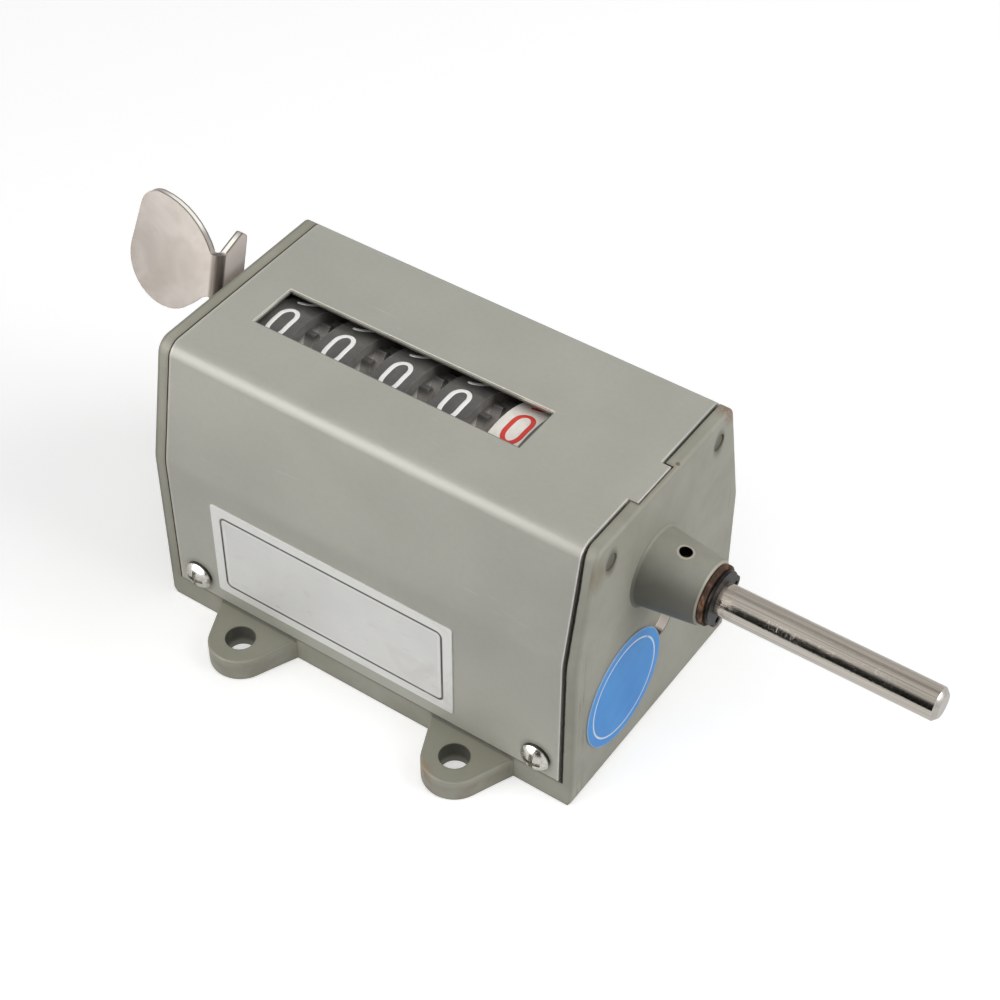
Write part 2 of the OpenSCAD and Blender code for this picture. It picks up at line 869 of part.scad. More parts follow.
// Pinion between two wheels: all teeth on the driven side, every other one on the carry side
module pinion(i) {
    first = transfer_dir + 180;
    color("#c8b070")
        translate([pinion_x(i), transfer_y, transfer_z])
            difference() {
                union() {
                    along_x(0, pinion_split)
                        polygon(gear(pinion_teeth, pinion_pitch_r, pinion_root_r, pinion_tip_r, first, 1));
                    along_x(pinion_split - eps, pinion_w - pinion_split + eps)
                        polygon(gear(pinion_teeth, pinion_pitch_r, pinion_root_r - long_root_step, long_tip_r,
                            first, pinion_teeth / pinion_long_teeth));
                }
                bar(-1, pinion_w + 1, transfer_r + run_gap, 0, 0);
            }
}

module transfer_shaft() {
    color("#b4b4b0")
        difference() {
            bar(-transfer_end, transfer_end, transfer_r, transfer_y, transfer_z);
            for (x = [clip_left_x, clip_right_x])
                tube(x - clip_gap / 2, x + clip_t + clip_gap / 2, 2 * transfer_r, transfer_r - clip_groove,
                    transfer_y, transfer_z);
        }
}

module transfer_clips() {
    inner = transfer_r - clip_groove + fit_gap;
    color("#55524e")
        for (x = [clip_left_x, clip_right_x])
            translate([0, transfer_y, transfer_z])
                along_x(x, clip_t)
                    difference() {
                        circle(clip_r);
                        circle(inner);
                        translate([-inner, -2 * clip_r])
                            square([2 * inner, 2 * clip_r]);
                    }
}

// Sleeves that keep the pinions in line with their gears
module transfer_spacers() {
    starts = concat([clip_left_x + clip_t], [for (i = [0:wheel_count - 2]) pinion_x(i) + pinion_w]);
    ends = concat([for (i = [0:wheel_count - 2]) pinion_x(i)], [clip_right_x]);
    color("#a8a8a4")
        for (i = [0:len(starts) - 1])
            tube(starts[i] + clip_gap, ends[i] - clip_gap, spacer_r, transfer_r + fit_gap,
                transfer_y, transfer_z);
}

module wheel_axle() {
    pilot_end = collar_x - 1;
    color("#bdbab4")
        difference() {
            union() {
                bar(key_right, stack_end, axle_r);
                bar(stack_end - eps, pilot_end, pilot_r);
                bar(axle_left, key_left + eps, seat_r);
                translate([0, axis_y, axis_z])
                    rotate([-key_lean, 0, 0])
                        along_x(key_left, key_t + eps)
                            seat_section(0);
            }
            translate([stack_x, axis_y - groove_w / 2, axis_z + axle_r - groove_depth])
                cube([stack_len + 1, groove_w, 2 * groove_depth]);
        }
}

// Round seat with two flats, which turns the key with the axle
module seat_section(grow) {
    intersection() {
        circle(seat_r + grow);
        square([4 * seat_r, 2 * (seat_r - seat_flat + grow)], center = true);
    }
}

module axle_collar() {
    color("#9a9a98")
        tube(-inner_x + face_gap, -inner_x + face_gap + axle_collar_t, axle_collar_r, axle_r + fit_gap);
}

// Arm of the key: a round foot on the axle and a slanted top beside the fold
module arm_outline() {
    back = arm_w / 2;
    top = rounded(
        [
            [arm_front + bend_r, 0], [back, 0], [back, arm_len - arm_top_drop], [arm_top_y, arm_len],
            [arm_front + bend_r, fold_high],
        ],
        [0, 0, arm_corner_r, arm_peak_r, 0]
    );
    difference() {
        union() {
            polygon(top);
            circle(key_hub_r);
            polygon([[arm_front, 0], [back, 0], [back, fold_low], [arm_front, fold_low]]);
        }
        seat_section(fit_gap);
    }
}

// Wing outline: distance beside the arm, height above the axis. Two lobes and a crown, each
// running smoothly into the next
function all_but_last(p) = [for (i = [0:len(p) - 2]) p[i]];
function wing_points() = concat(
    [[bend_r, fold_low]],
    all_but_last(arc(crown, crown_r, crown_turn, 90, corner_steps)),
    arc(high_lobe, high_lobe_r, 90, side_turn, corner_steps),
    arc(low_lobe, low_lobe_r, side_turn, neck_turn, 2 * corner_steps),
    [neck]
);

module reset_key() {
    color("#c2bbb2")
        translate([0, axis_y, axis_z])
            rotate([-key_lean, 0, 0]) {
                along_x(key_left, key_t)
                    arm_outline();
                translate([key_right, arm_front, fold_low])
                    linear_extrude(fold_high - fold_low)
                        difference() {
                            translate([-bend_r, bend_r])
                                circle(bend_r);
                            translate([-bend_r, bend_r])
                                circle(bend_r - key_t);
                            translate([-4 * bend_r, bend_r])
                                square(5 * bend_r);
                            translate([-5 * bend_r, -bend_r])
                                square([4 * bend_r, 5 * bend_r]);
                        }
                translate([key_right, arm_front + key_t, 0])
                    rotate([90, 0, 0])
                        linear_extrude(key_t)
                            mirror([1, 0])
                                polygon(wing_points());
            }
}

module key_washer() {
    color("#8c8c8a")
        translate([0, axis_y, axis_z])
            difference() {
                along_x(key_left - key_washer_t, key_washer_t)
                    circle(key_washer_r);
                along_x(key_left - key_washer_t - 1, key_washer_t + 2)
                    circle(seat_r + fit_gap);
                translate([key_left - key_washer_t - 1, 0, -key_washer_split / 2])
                    cube([key_washer_t + 2, 2 * key_washer_r, key_washer_split]);
            }
}

module key_nut() {
    color("#c4c2bc")
        translate([0, axis_y, axis_z])
            difference() {
                along_x(nut_left, nut_h)
                    circle(nut_af / 2 / cos(30), $fn = 6);
                bar(nut_left - 1, nut_left + nut_h + 1, seat_r + fit_gap, 0, 0);
            }
}

frame();
cover();
cover_screws();
name_plate();
round_label();
drive_bush();
reset_bush();
transfer_shaft();
transfer_clips();
transfer_spacers();
drive_shaft();
shaft_ring();
thrust_washer();
thrust_collar();
collar_pin();
drive_disc();
clutch_spring();
for (i = [0:wheel_count - 1])
    wheel(i);
for (i = [0:wheel_count - 1])
    pawl(i);
for (i = [0:wheel_count - 2])
    pinion(i);
wheel_axle();
axle_collar();
reset_key();
key_washer();
key_nut();
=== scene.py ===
import json
import math

import bmesh
import bpy
from mathutils import Matrix, Vector


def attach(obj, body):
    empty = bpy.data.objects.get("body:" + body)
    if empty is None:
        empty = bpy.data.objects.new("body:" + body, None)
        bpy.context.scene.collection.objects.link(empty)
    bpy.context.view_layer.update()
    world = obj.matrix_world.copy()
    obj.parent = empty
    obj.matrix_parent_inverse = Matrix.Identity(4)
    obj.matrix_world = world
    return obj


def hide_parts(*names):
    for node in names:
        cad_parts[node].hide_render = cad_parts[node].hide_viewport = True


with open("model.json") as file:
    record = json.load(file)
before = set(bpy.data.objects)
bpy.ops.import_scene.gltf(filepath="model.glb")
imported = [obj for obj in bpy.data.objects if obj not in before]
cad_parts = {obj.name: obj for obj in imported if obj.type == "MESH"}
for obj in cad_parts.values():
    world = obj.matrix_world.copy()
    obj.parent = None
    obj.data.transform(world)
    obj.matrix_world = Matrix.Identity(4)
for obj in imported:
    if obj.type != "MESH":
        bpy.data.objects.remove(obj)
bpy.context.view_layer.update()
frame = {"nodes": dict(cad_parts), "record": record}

MM = 0.001

# Places and sizes on the counter, in millimetres, in the frame of the CAD model
AXIS_Y, AXIS_Z = -2.4, 40.9
PLATE_X = 45.0
CASE_HALF_W = 25.65
CASE_TOP = 59.0
FLOOR_T = 4.0
BASE_RIM_Z = 5.2
SHEET = 1.0
COVER_LEFT_X = -42.35
COVER_END_X = 42.1
LEDGE_X = 42.65
TAB_HALF = 5.05
TAB_END_X = 43.9
WINDOW_LOW = (-34.75, -7.6)
WINDOW_HIGH = (21.05, 2.8)
SCREW_X, SCREW_Z = 37.5, 9.0
OIL_X, OIL_R = 50.6, 1.1
HUB_FOOT_R = 7.8
HUB_END_X = 56.2
HUB_END_R = 5.9
SHAFT_FROM_X, SHAFT_TIP_X = 58.5, 97.5
KEY_LEAN = 15.0
KEY_FOLD_X = -49.6
KEY_FACE_X = -47.9
KEY_FOLD_Y = -2.2
KEY_WING_MID = -3.15
KEY_ARM_MID = -48.6
NAME_PLATE_AT = (-6.3, 19.25)
NAME_PLATE_HALF = (26.4, 10.95)
LABEL_AT, LABEL_R = (-10.5, 17.6), 11.5
RECESS_AT, RECESS_R = (1.0, 24.2), 4.2
DIMPLE_Y, DIMPLE_Z, DIMPLE_R = 16.7, 54.0, 1.6
EAR_X, EAR_Y = 24.0, 31.0
EAR_HALF_W = 8.8
EAR_TOP_Z = 4.8
EAR_HOLE_R = 2.75
WHEEL_R = 16.4
GEAR_TIP_R = 14.55
WHEEL_X = {
    "ten_thousands": -31.9,
    "thousands": -19.6,
    "hundreds": -7.3,
    "tens": 5.0,
    "units": 17.3,
}


def tone(red, green, blue):
    """A colour as it is read off a screen, made linear."""
    return tuple(
        c / 12.92 if c <= 0.04045 else ((c + 0.055) / 1.055) ** 2.4
        for c in (red / 255, green / 255, blue / 255)
    ) + (1.0,)


class Value:
    """One shader value. Sums and products of values add their own Math nodes."""

    def __init__(self, nodes, socket):
        self.nodes = nodes
        self.socket = socket

    def _math(self, operation, first, second):
        return self.nodes.node(
            "ShaderNodeMath", {"operation": operation}, {0: first, 1: second}
        )

    def __add__(self, other):
        return self._math("ADD", self, other)

    def __radd__(self, other):
        return self._math("ADD", other, self)

    def __sub__(self, other):
        return self._math("SUBTRACT", self, other)

    def __rsub__(self, other):
        return self._math("SUBTRACT", other, self)

    def __mul__(self, other):
        return self._math("MULTIPLY", self, other)

    def __rmul__(self, other):
        return self._math("MULTIPLY", other, self)

    def __truediv__(self, other):
        return self._math("DIVIDE", self, other)

    def __pow__(self, other):
        return self._math("POWER", self, other)

    def __abs__(self):
        return self._math("ABSOLUTE", self, 0.0)

    def least(self, other):
        return self._math("MINIMUM", self, other)

    def most(self, other):
        return self._math("MAXIMUM", self, other)

    def _ramp(self, low, high, start, end):
        return self.nodes.node(
            "ShaderNodeMapRange",
            {"interpolation_type": "SMOOTHSTEP"},
            {0: self, 1: low, 2: high, 3: start, 4: end},
        )

    def rise(self, low, high):
        """0 below low, 1 above high, smooth between them."""
        return self._ramp(low, high, 0.0, 1.0)

    def fall(self, low, high):
        """1 below low, 0 above high, smooth between them."""
        return self._ramp(low, high, 1.0, 0.0)

    def beside(self, out):
        """Another output of the same node."""
        return Value(self.nodes, self.socket.node.outputs[out])


class Nodes:
    """A node tree, emptied, and the nodes put into it."""

    def __init__(self, tree):
        self.tree = tree
        tree.nodes.clear()

    def node(self, kind, settings, sockets, out=0):
        """Any node: its settings first, then the values or links of its sockets."""
        made = self.tree.nodes.new(kind)
        for key, value in settings.items():
            setattr(made, key, value)
        for key, value in sockets.items():
            if isinstance(value, Value):
                self.tree.links.new(value.socket, made.inputs[key])
            else:
                made.inputs[key].default_value = value
        return Value(self, made.outputs[out]) if made.outputs else None

    def seen(self, in_metal):
        """1 for what the lens sees, the share in_metal for what reflections see."""
        lens = self.node("ShaderNodeLightPath", {}, {}, "Is Camera Ray")
        seen = lens.most(in_metal * lens.beside("Is Glossy Ray"))
        return seen.most(lens.beside("Is Transmission Ray"))


class Finish(Nodes):
    """One material in the making, measured in millimetres on its own piece."""

    def __init__(self, name):
        self.material = bpy.data.materials.new(name)
        self.material.use_nodes = True
        super().__init__(self.material.node_tree)
        self.colour = None
        metres = self.node("ShaderNodeTexCoord", {}, {}, "Object")
        self.place = self.node(
            "ShaderNodeVectorMath", {"operation": "SCALE"}, {0: metres, 3: 1 / MM}
        )
        self.x = self.node("ShaderNodeSeparateXYZ", {}, {0: self.place})
        self.y, self.z = self.x.beside(1), self.x.beside(2)

    def cloud(self, scale, detail=3.0, rough=0.55, twist=0.0, along=None, shift=0.0):
        """Soft noise from 0 to 1, with so many waves in a millimetre along each axis."""
        place = self.place
        if along:
            place = self.node(
                "ShaderNodeVectorMath", {"operation": "MULTIPLY"}, {0: place, 1: along}
            )
        if shift:
            place = self.node(
                "ShaderNodeVectorMath",
                {"operation": "ADD"},
                {0: place, 1: (shift, 1.7 * shift, 0.6 * shift)},
            )
        return self.node(
            "ShaderNodeTexNoise",
            {},
            {
                "Vector": place,
                "Scale": scale,
                "Detail": detail,
                "Roughness": rough,
                "Distortion": twist,
            },
        )

    def specks(self, spacing, radius, share):
        """Small round specks: one in some cells of a loose grid."""
        cells = self.node(
            "ShaderNodeTexVoronoi",
            {},
            {"Vector": self.place, "Scale": 1 / spacing},
            "Distance",
        )
        dice = self.node("ShaderNodeSeparateColor", {}, {0: cells.beside("Color")})
        there = dice.rise(1 - share, 1 - share + 0.02)
        reach = radius / spacing * (0.45 + 0.55 * dice.beside(1))
        return (cells / reach).fall(0.6, 1.0) * there

    def distance(self, centre):
        """Distance from a point."""
        return self.node(
            "ShaderNodeVectorMath",
            {"operation": "DISTANCE"},
            {0: self.place, 1: centre},
            "Value",
        )

    def around(self, first, second, at, squash=1.0):
        """Distance from an axis, seen across two coordinates."""
        a = first - at[0]
        b = (second - at[1]) * squash
        return (a * a + b * b) ** 0.5

    def edges(self, width):
        """How near a sharp or rounded edge a place is: 0 on flat ground."""
        eased = self.node("ShaderNodeBevel", {"samples": 5}, {"Radius": width * MM})
        plain = self.node("ShaderNodeNewGeometry", {}, {}, "Normal")
        return 1 - self.node(
            "ShaderNodeVectorMath", {"operation": "DOT_PRODUCT"}, {0: eased, 1: plain}, "Value"
        )

    def facing(self):
        """The three parts of the surface's direction on the piece."""
        plain = self.node("ShaderNodeTexCoord", {}, {}, "Normal")
        side = self.node("ShaderNodeSeparateXYZ", {}, {0: plain})
        return side, side.beside(1), side.beside(2)

    def _mix(self, blend, under, over, mask):
        return self.node(
            "ShaderNodeMix",
            {"data_type": "RGBA", "blend_type": blend},
            {0: mask, 6: under, 7: over},
            2,
        )

    def base(self, low, high, mask):
        """The first coat, from one tone to another."""
        self.colour = self._mix("MIX", tone(*low), tone(*high), mask)

    def lay(self, over, mask):
        """One more tone laid over the colour through a mask."""
        self.colour = self._mix("MIX", self.colour, tone(*over), mask)

    def shade(self, amount):
        """The colour made lighter or darker by a value about 1."""
        grey = self.node("ShaderNodeCombineColor", {}, {0: amount, 1: amount, 2: amount})
        self.colour = self._mix("MULTIPLY", self.colour, grey, 1.0)

    def close(self, roughness, metallic, height, constant=None):
        """The shader, with a bump in millimetres and sockets of one value all over."""
        bump = self.node(
            "ShaderNodeBump", {}, {"Strength": 1.0, "Distance": MM, "Height": height}
        )
        shader = self.node(
            "ShaderNodeBsdfPrincipled",
            {},
            {
                "Base Color": self.colour,
                "Roughness": roughness,
                "Metallic": metallic,
                "Normal": bump,
                **(constant or {}),
            },
        )
        return self.show(shader)

    def show(self, shader):
        self.node("ShaderNodeOutputMaterial", {}, {0: shader})
        return self.material


def cover_paint():
    """Semi-gloss grey enamel on the folded cover."""
    f = Finish("cover_enamel")
    broad = f.cloud(0.05, 2.0)
    fine = f.cloud(0.9, 4.0, 0.6)
    grain = f.cloud(4.5, 2.0, 0.6)
    f.base((164, 164, 154), (170, 170, 160), broad.rise(0.3, 0.7))
    f.shade(0.945 + 0.11 * fine)
    f.shade(0.95 + 0.1 * grain)
    low = f.z.fall(6.0, 22.0) * f.cloud(0.25, 3.0, shift=9.0).rise(0.35, 0.75)
    f.lay((150, 148, 136), 0.15 * low)
    # Painted fill light: the cover lighter towards the bottom, more so on the right
    f.shade(1 + f.z.fall(4.0, 34.0) * (0.18 + 0.08 * f.x.rise(-30.0, 36.0)))

    # Dirt round the screws, specks and scuffs
    halo = f.around(abs(f.x), f.z, (SCREW_X, SCREW_Z)).fall(2.9, 4.2)
    f.lay((112, 108, 98), 0.45 * halo * f.cloud(0.8, 3.0, shift=4.0))
    dark = f.specks(7.0, 0.24, 0.33)
    f.lay((92, 86, 76), 0.75 * dark)
    f.lay((196, 196, 188), 0.5 * f.specks(5.1, 0.16, 0.25))
    scuff = f.cloud(0.5, 2.0, 0.5, 0.4, (0.25, 3.0, 3.0), 21.0).rise(0.66, 0.72)
    scuff = scuff * f.cloud(0.06, 1.0, shift=30.0).rise(0.5, 0.62)
    f.lay((186, 186, 178), 0.4 * scuff)

    # Worn folds, and painted highlights along the lips at both ends, weaker towards the back
    worn = (f.edges(0.5) * (0.5 + f.cloud(1.1, 4.0, 0.65, shift=14.0))).rise(0.1, 0.3)
    f.lay((190, 188, 178), 0.55 * worn)
    # Painted highlight on the lips of the cover's ends and of its tab
    beside_tab = abs(f.y - AXIS_Y).rise(TAB_HALF, TAB_HALF + 0.1)
    lip_highlight = f.x.rise(COVER_END_X - 0.36, COVER_END_X - 0.16) * beside_tab
    lip_highlight = lip_highlight.most(f.x.rise(TAB_END_X - 0.3, TAB_END_X - 0.14))
    lip_highlight = lip_highlight.most(0.35 * f.x.fall(COVER_LEFT_X + 0.25, COVER_LEFT_X + 0.6))
    lip_highlight = lip_highlight * (1 - 0.55 * f.y.rise(3.0, 14.0))
    f.lay((222, 220, 212), 0.8 * lip_highlight * (0.55 + 0.6 * fine))

    # The cut edge of the window, darker all round, with a bright bare upper strip at the back
    # and on the left that is partly a painted highlight
    cut = (
        f.x.rise(WINDOW_LOW[0] - 0.22, WINDOW_LOW[0] - 0.1)
        * f.x.fall(WINDOW_HIGH[0] + 0.1, WINDOW_HIGH[0] + 0.22)
        * f.y.rise(WINDOW_LOW[1] - 0.22, WINDOW_LOW[1] - 0.1)
        * f.y.fall(WINDOW_HIGH[1] + 0.1, WINDOW_HIGH[1] + 0.22)
        * f.z.rise(CASE_TOP - SHEET - 0.2, CASE_TOP - SHEET - 0.05)
    )
    far_cut = f.y.rise(WINDOW_HIGH[1] - 0.3, WINDOW_HIGH[1] - 0.1)
    far_cut = far_cut.most(f.x.fall(WINDOW_LOW[0] + 0.1, WINDOW_LOW[0] + 0.3))
    # Bare upper strip of the cut, partly a painted highlight
    back_cut = cut * far_cut * f.z.rise(CASE_TOP - 0.62, CASE_TOP - 0.5)
    f.lay((74, 72, 66), 0.8 * cut)
    f.lay((226, 223, 212), back_cut)

    peel = 0.014 * fine + 0.004 * grain - 0.03 * dark
    rough = 0.43 + 0.12 * (broad - 0.5) + 0.08 * (fine - 0.5) - 0.1 * scuff - 0.12 * back_cut
    return f.close(rough, 0.35 * back_cut, peel, {"Specular IOR Level": 0.8})


def cast_paint():
    """Thin grey paint over a die casting, rubbed brown along its edges."""
    f = Finish("painted_casting")
    level = f.facing()[2].rise(0.5, 0.9)
    broad = f.cloud(0.07, 3.0, 0.6)
    lumps = f.cloud(0.55, 4.0, 0.6, 0.3)
    grain = f.cloud(2.6, 3.0, 0.65)
    f.base((144, 143, 130), (158, 157, 146), broad.rise(0.25, 0.75))
    f.shade(0.93 + 0.14 * lumps)
    f.shade(0.965 + 0.07 * grain)

    # Rubbed edges, but not in the corners at the foot of the hub and of the ears
    axis_off = f.around(f.y, f.z, (AXIS_Y, AXIS_Z))
    hub_root = (
        axis_off.fall(HUB_FOOT_R + 0.6, HUB_FOOT_R + 1.2)
        * axis_off.rise(HUB_FOOT_R - 1.4, HUB_FOOT_R - 1.0)
        * f.x.fall(PLATE_X + 1.0, PLATE_X + 1.4)
    )
    ear_root = (
        abs(abs(f.y) - CASE_HALF_W).fall(0.3, 0.7)
        * f.z.rise(EAR_TOP_Z - 0.5, EAR_TOP_Z - 0.2)
        * f.z.fall(EAR_TOP_Z + 0.5, EAR_TOP_Z + 0.8)
        * abs(abs(f.x) - EAR_X).fall(EAR_HALF_W - 0.2, EAR_HALF_W + 0.5)
    )
    open_edge = 1 - hub_root.most(ear_root)
    olive = (f.edges(1.5) * open_edge * (0.55 + lumps)).rise(0.04, 0.3)
    f.lay((130, 126, 104), 0.8 * olive)
    ragged = 0.25 + 1.3 * f.cloud(0.33, 5.0, 0.7, 0.5, shift=6.0)
    f.lay((112, 92, 66), 0.75 * (f.edges(0.9) * open_edge * ragged).rise(0.17, 0.34))
    ragged = 0.1 + 1.2 * f.cloud(0.8, 5.0, 0.7, shift=17.0)
    f.lay((178, 172, 158), 0.7 * (f.edges(0.4) * open_edge * ragged).rise(0.3, 0.42))

    # Ear tops darker; painted shade in the ear holes, at their foot and on the hub; painted
    # light low on the front; grime and a knock on the ears
    # The upward faces of the ears darker and more olive
    ear = (abs(f.y) - CASE_HALF_W).rise(0.0, 0.8)
    f.lay((120, 120, 105), 0.65 * ear * level * (0.7 + 0.5 * broad))
    # Painted shade: the walls of the ear holes darker above their lowest 2 mm
    hole = f.around(abs(f.x), abs(f.y), (EAR_X, EAR_Y))
    hole = hole.fall(EAR_HOLE_R + 0.05, EAR_HOLE_R + 0.15)
    f.lay((62, 62, 54), 0.9 * hole * f.z.rise(0.4, 2.2))
    # Painted light: faces low on the front that do not face up made lighter
    f.shade(1 + 0.12 * f.z.fall(4.0, 6.0) * f.y.fall(-24.0, -22.0) * (1 - level))
    # Painted shade: the hub darker the further round it is from its upper back side
    hub = f.x.rise(PLATE_X - 0.06, PLATE_X + 0.02)
    hub = hub * axis_off.fall(HUB_FOOT_R - 0.1, HUB_FOOT_R + 0.1)
    up_back = (0.5 * (f.y - AXIS_Y) + 0.85 * (f.z - AXIS_Z)) / axis_off
    f.shade(1 - hub * (0.63 - 0.53 * up_back.rise(-0.35, 0.9)))
    # Painted shade in the crease where the ears meet the case
    f.lay((64, 64, 56), 0.6 * ear_root)
    grime = ear * f.z.fall(2.6, EAR_TOP_Z) * (1 - hole)
    f.lay((106, 92, 72), 0.5 * grime * f.cloud(0.15, 3.0, 0.5, shift=35.0).rise(0.3, 0.7))
    knock = f.distance((EAR_X - 3.6, -EAR_Y - 5.2, 2.6)).fall(1.2, 4.2)
    f.lay((140, 108, 78), 0.7 * knock * f.cloud(0.4, 4.0, 0.65, shift=27.0).rise(0.4, 0.6))

    # Streaks, stains and darker spots round the dimples on the right end plate
    face = f.x.rise(PLATE_X - 0.9, PLATE_X - 0.5)
    streaks = f.cloud(0.5, 3.0, 0.6, 0.2, (1.0, 3.4, 0.22), 40.0).rise(0.46, 0.66)
    by_edge = (abs(f.y) - CASE_HALF_W + 3.6).rise(0.0, 1.0)
    by_edge = by_edge * (CASE_HALF_W - 0.9 - abs(f.y)).rise(0.0, 0.6)
    f.lay((122, 108, 86), 0.6 * face * by_edge * streaks * f.z.fall(33.0, 40.0))
    # Darker round the dimples
    dimple_dark = face * f.around(abs(f.y), f.z, (DIMPLE_Y, DIMPLE_Z), 0.6).fall(0.8, 2.3)
    f.lay((86, 84, 76), 0.8 * dimple_dark)
    stain = face * f.around(f.y, f.z, (-DIMPLE_Y - 3.8, DIMPLE_Z), 0.7).fall(0.6, 3.4)
    f.lay((116, 104, 76), stain * (0.2 + 0.6 * f.cloud(0.4, 3.0, 0.6, shift=44.0)))
    corner = f.distance((PLATE_X - 0.8, 20.4, CASE_TOP - 0.8)).fall(0.8, 3.6)
    f.lay((122, 86, 58), 0.75 * corner * grain.rise(0.3, 0.6))
    f.lay((112, 82, 56), 0.85 * f.distance((PLATE_X - 0.6, 3.9, CASE_TOP)).fall(0.25, 0.55))

    # The round recess, the oil hole and the turned end of the hub
    from_well = f.around(f.y, f.z, RECESS_AT)
    well_wall = (
        abs(from_well - RECESS_R).fall(0.1, 0.2)
        * f.x.fall(PLATE_X - 0.12, PLATE_X - 0.02)
        * f.x.rise(PLATE_X - 2.4, PLATE_X - 2.2)
    )
    # Painted shade on the plate round the right side of the recess's rim
    well_rim = face * abs(from_well - RECESS_R - 0.18).fall(0.1, 0.26)
    f.lay((96, 84, 68), 0.6 * well_rim * f.y.rise(RECESS_AT[0], RECESS_AT[0] + 2.0))
    from_oil = f.around(f.x, f.y, (OIL_X, AXIS_Y))
    on_top = f.z.rise(AXIS_Z + 2.1, AXIS_Z + 3.1)
    bare_ring = (from_oil + 0.3 * (grain - 0.5)).fall(OIL_R + 0.3, OIL_R + 0.52) * on_top
    turned = f.x.rise(HUB_END_X - 0.34, HUB_END_X - 0.24)
    turned = turned * axis_off.rise(HUB_END_R - 0.6, HUB_END_R - 0.45)
    bright = bare_ring.most(0.45 * turned * (0.5 + lumps))
    f.lay((200, 195, 180), 0.85 * bright)
    # The recess's wall: painted shade, with a painted highlight on its upper part
    f.lay((92, 66, 46), well_wall)
    f.lay((244, 236, 228), well_wall * (f.z + 0.5 * f.y).rise(21.0, 21.8))
    # Painted shade: the oil hole's bore near black
    f.lay((10, 9, 8), from_oil.fall(OIL_R + 0.03, OIL_R + 0.1) * on_top)

    # Painted shade in the gaps under the cover's edge and round its tab, black and metallic
    on_right = f.x.rise(-1.0, 1.0)
    under_cover = (LEDGE_X - abs(f.x)).rise(-0.05, 0.05)
    under_cover = under_cover * f.z.rise(BASE_RIM_Z - 0.05, BASE_RIM_Z + 0.05)
    in_notch = (
        f.x.fall(TAB_END_X + 0.35, TAB_END_X + 0.4)
        * abs(f.y - AXIS_Y).fall(TAB_HALF + 0.35, TAB_HALF + 0.45)
        * f.z.fall(CASE_TOP - 0.12, CASE_TOP - 0.06)
        * f.z.rise(CASE_TOP - 9.0, CASE_TOP - 7.0)
        * f.x.rise(LEDGE_X - 2.0, LEDGE_X - 1.5)
    )
    hidden = (under_cover * (0.4 + 0.6 * on_right)).most(in_notch)
    hidden = hidden * (1 - 0.5 * f.y.rise(2.0, 14.0))
    gap_shade_width = 0.02 + 0.34 * f.y.fall(-22.5, -19.5) + 0.2 * (lumps - 0.5)
    gap_edge_shade = on_right * (f.x - LEDGE_X - gap_shade_width).fall(-0.06, 0.08)
    gap_shade = hidden.most(gap_edge_shade * f.z.rise(BASE_RIM_Z - 0.2, BASE_RIM_Z + 0.2))
    f.lay((14, 13, 11), 0.95 * gap_shade)

    # The left rim, rust behind the washer, the inside and the pits
    outer_line = (1 - on_right) * f.x.fall(0.45 - PLATE_X, 0.75 - PLATE_X)
    f.lay((112, 106, 90), 0.5 * outer_line * f.z.rise(4.0, 6.0))
    rusty = f.x.rise(HUB_END_X - 0.1, HUB_END_X - 0.04)
    rusty = rusty * axis_off.fall(HUB_END_R - 0.65, HUB_END_R - 0.3)
    f.lay((104, 68, 44), rusty * (0.6 + 0.4 * lumps))
    inside = (PLATE_X - 5.5 - abs(f.x)).rise(0.0, 0.3)
    inside = inside * (CASE_HALF_W - 1.5 - abs(f.y)).rise(0.0, 0.3)
    f.lay((108, 108, 100), 0.5 * inside * f.z.rise(FLOOR_T - 0.5, FLOOR_T))
    pits = f.specks(3.4, 0.2, 0.3)
    f.lay((96, 90, 76), 0.6 * pits)

    ground = 0.03 * lumps + 0.008 * grain - 0.05 * pits
    rough = 0.52 + 0.16 * (lumps - 0.5) + 0.1 * (grain - 0.5) - 0.2 * bright - 0.08 * olive
    metallic = (0.4 * bright * (1 - rusty)).most(gap_shade)
    return f.close(rough, metallic, ground, {"Specular IOR Level": 0.45})


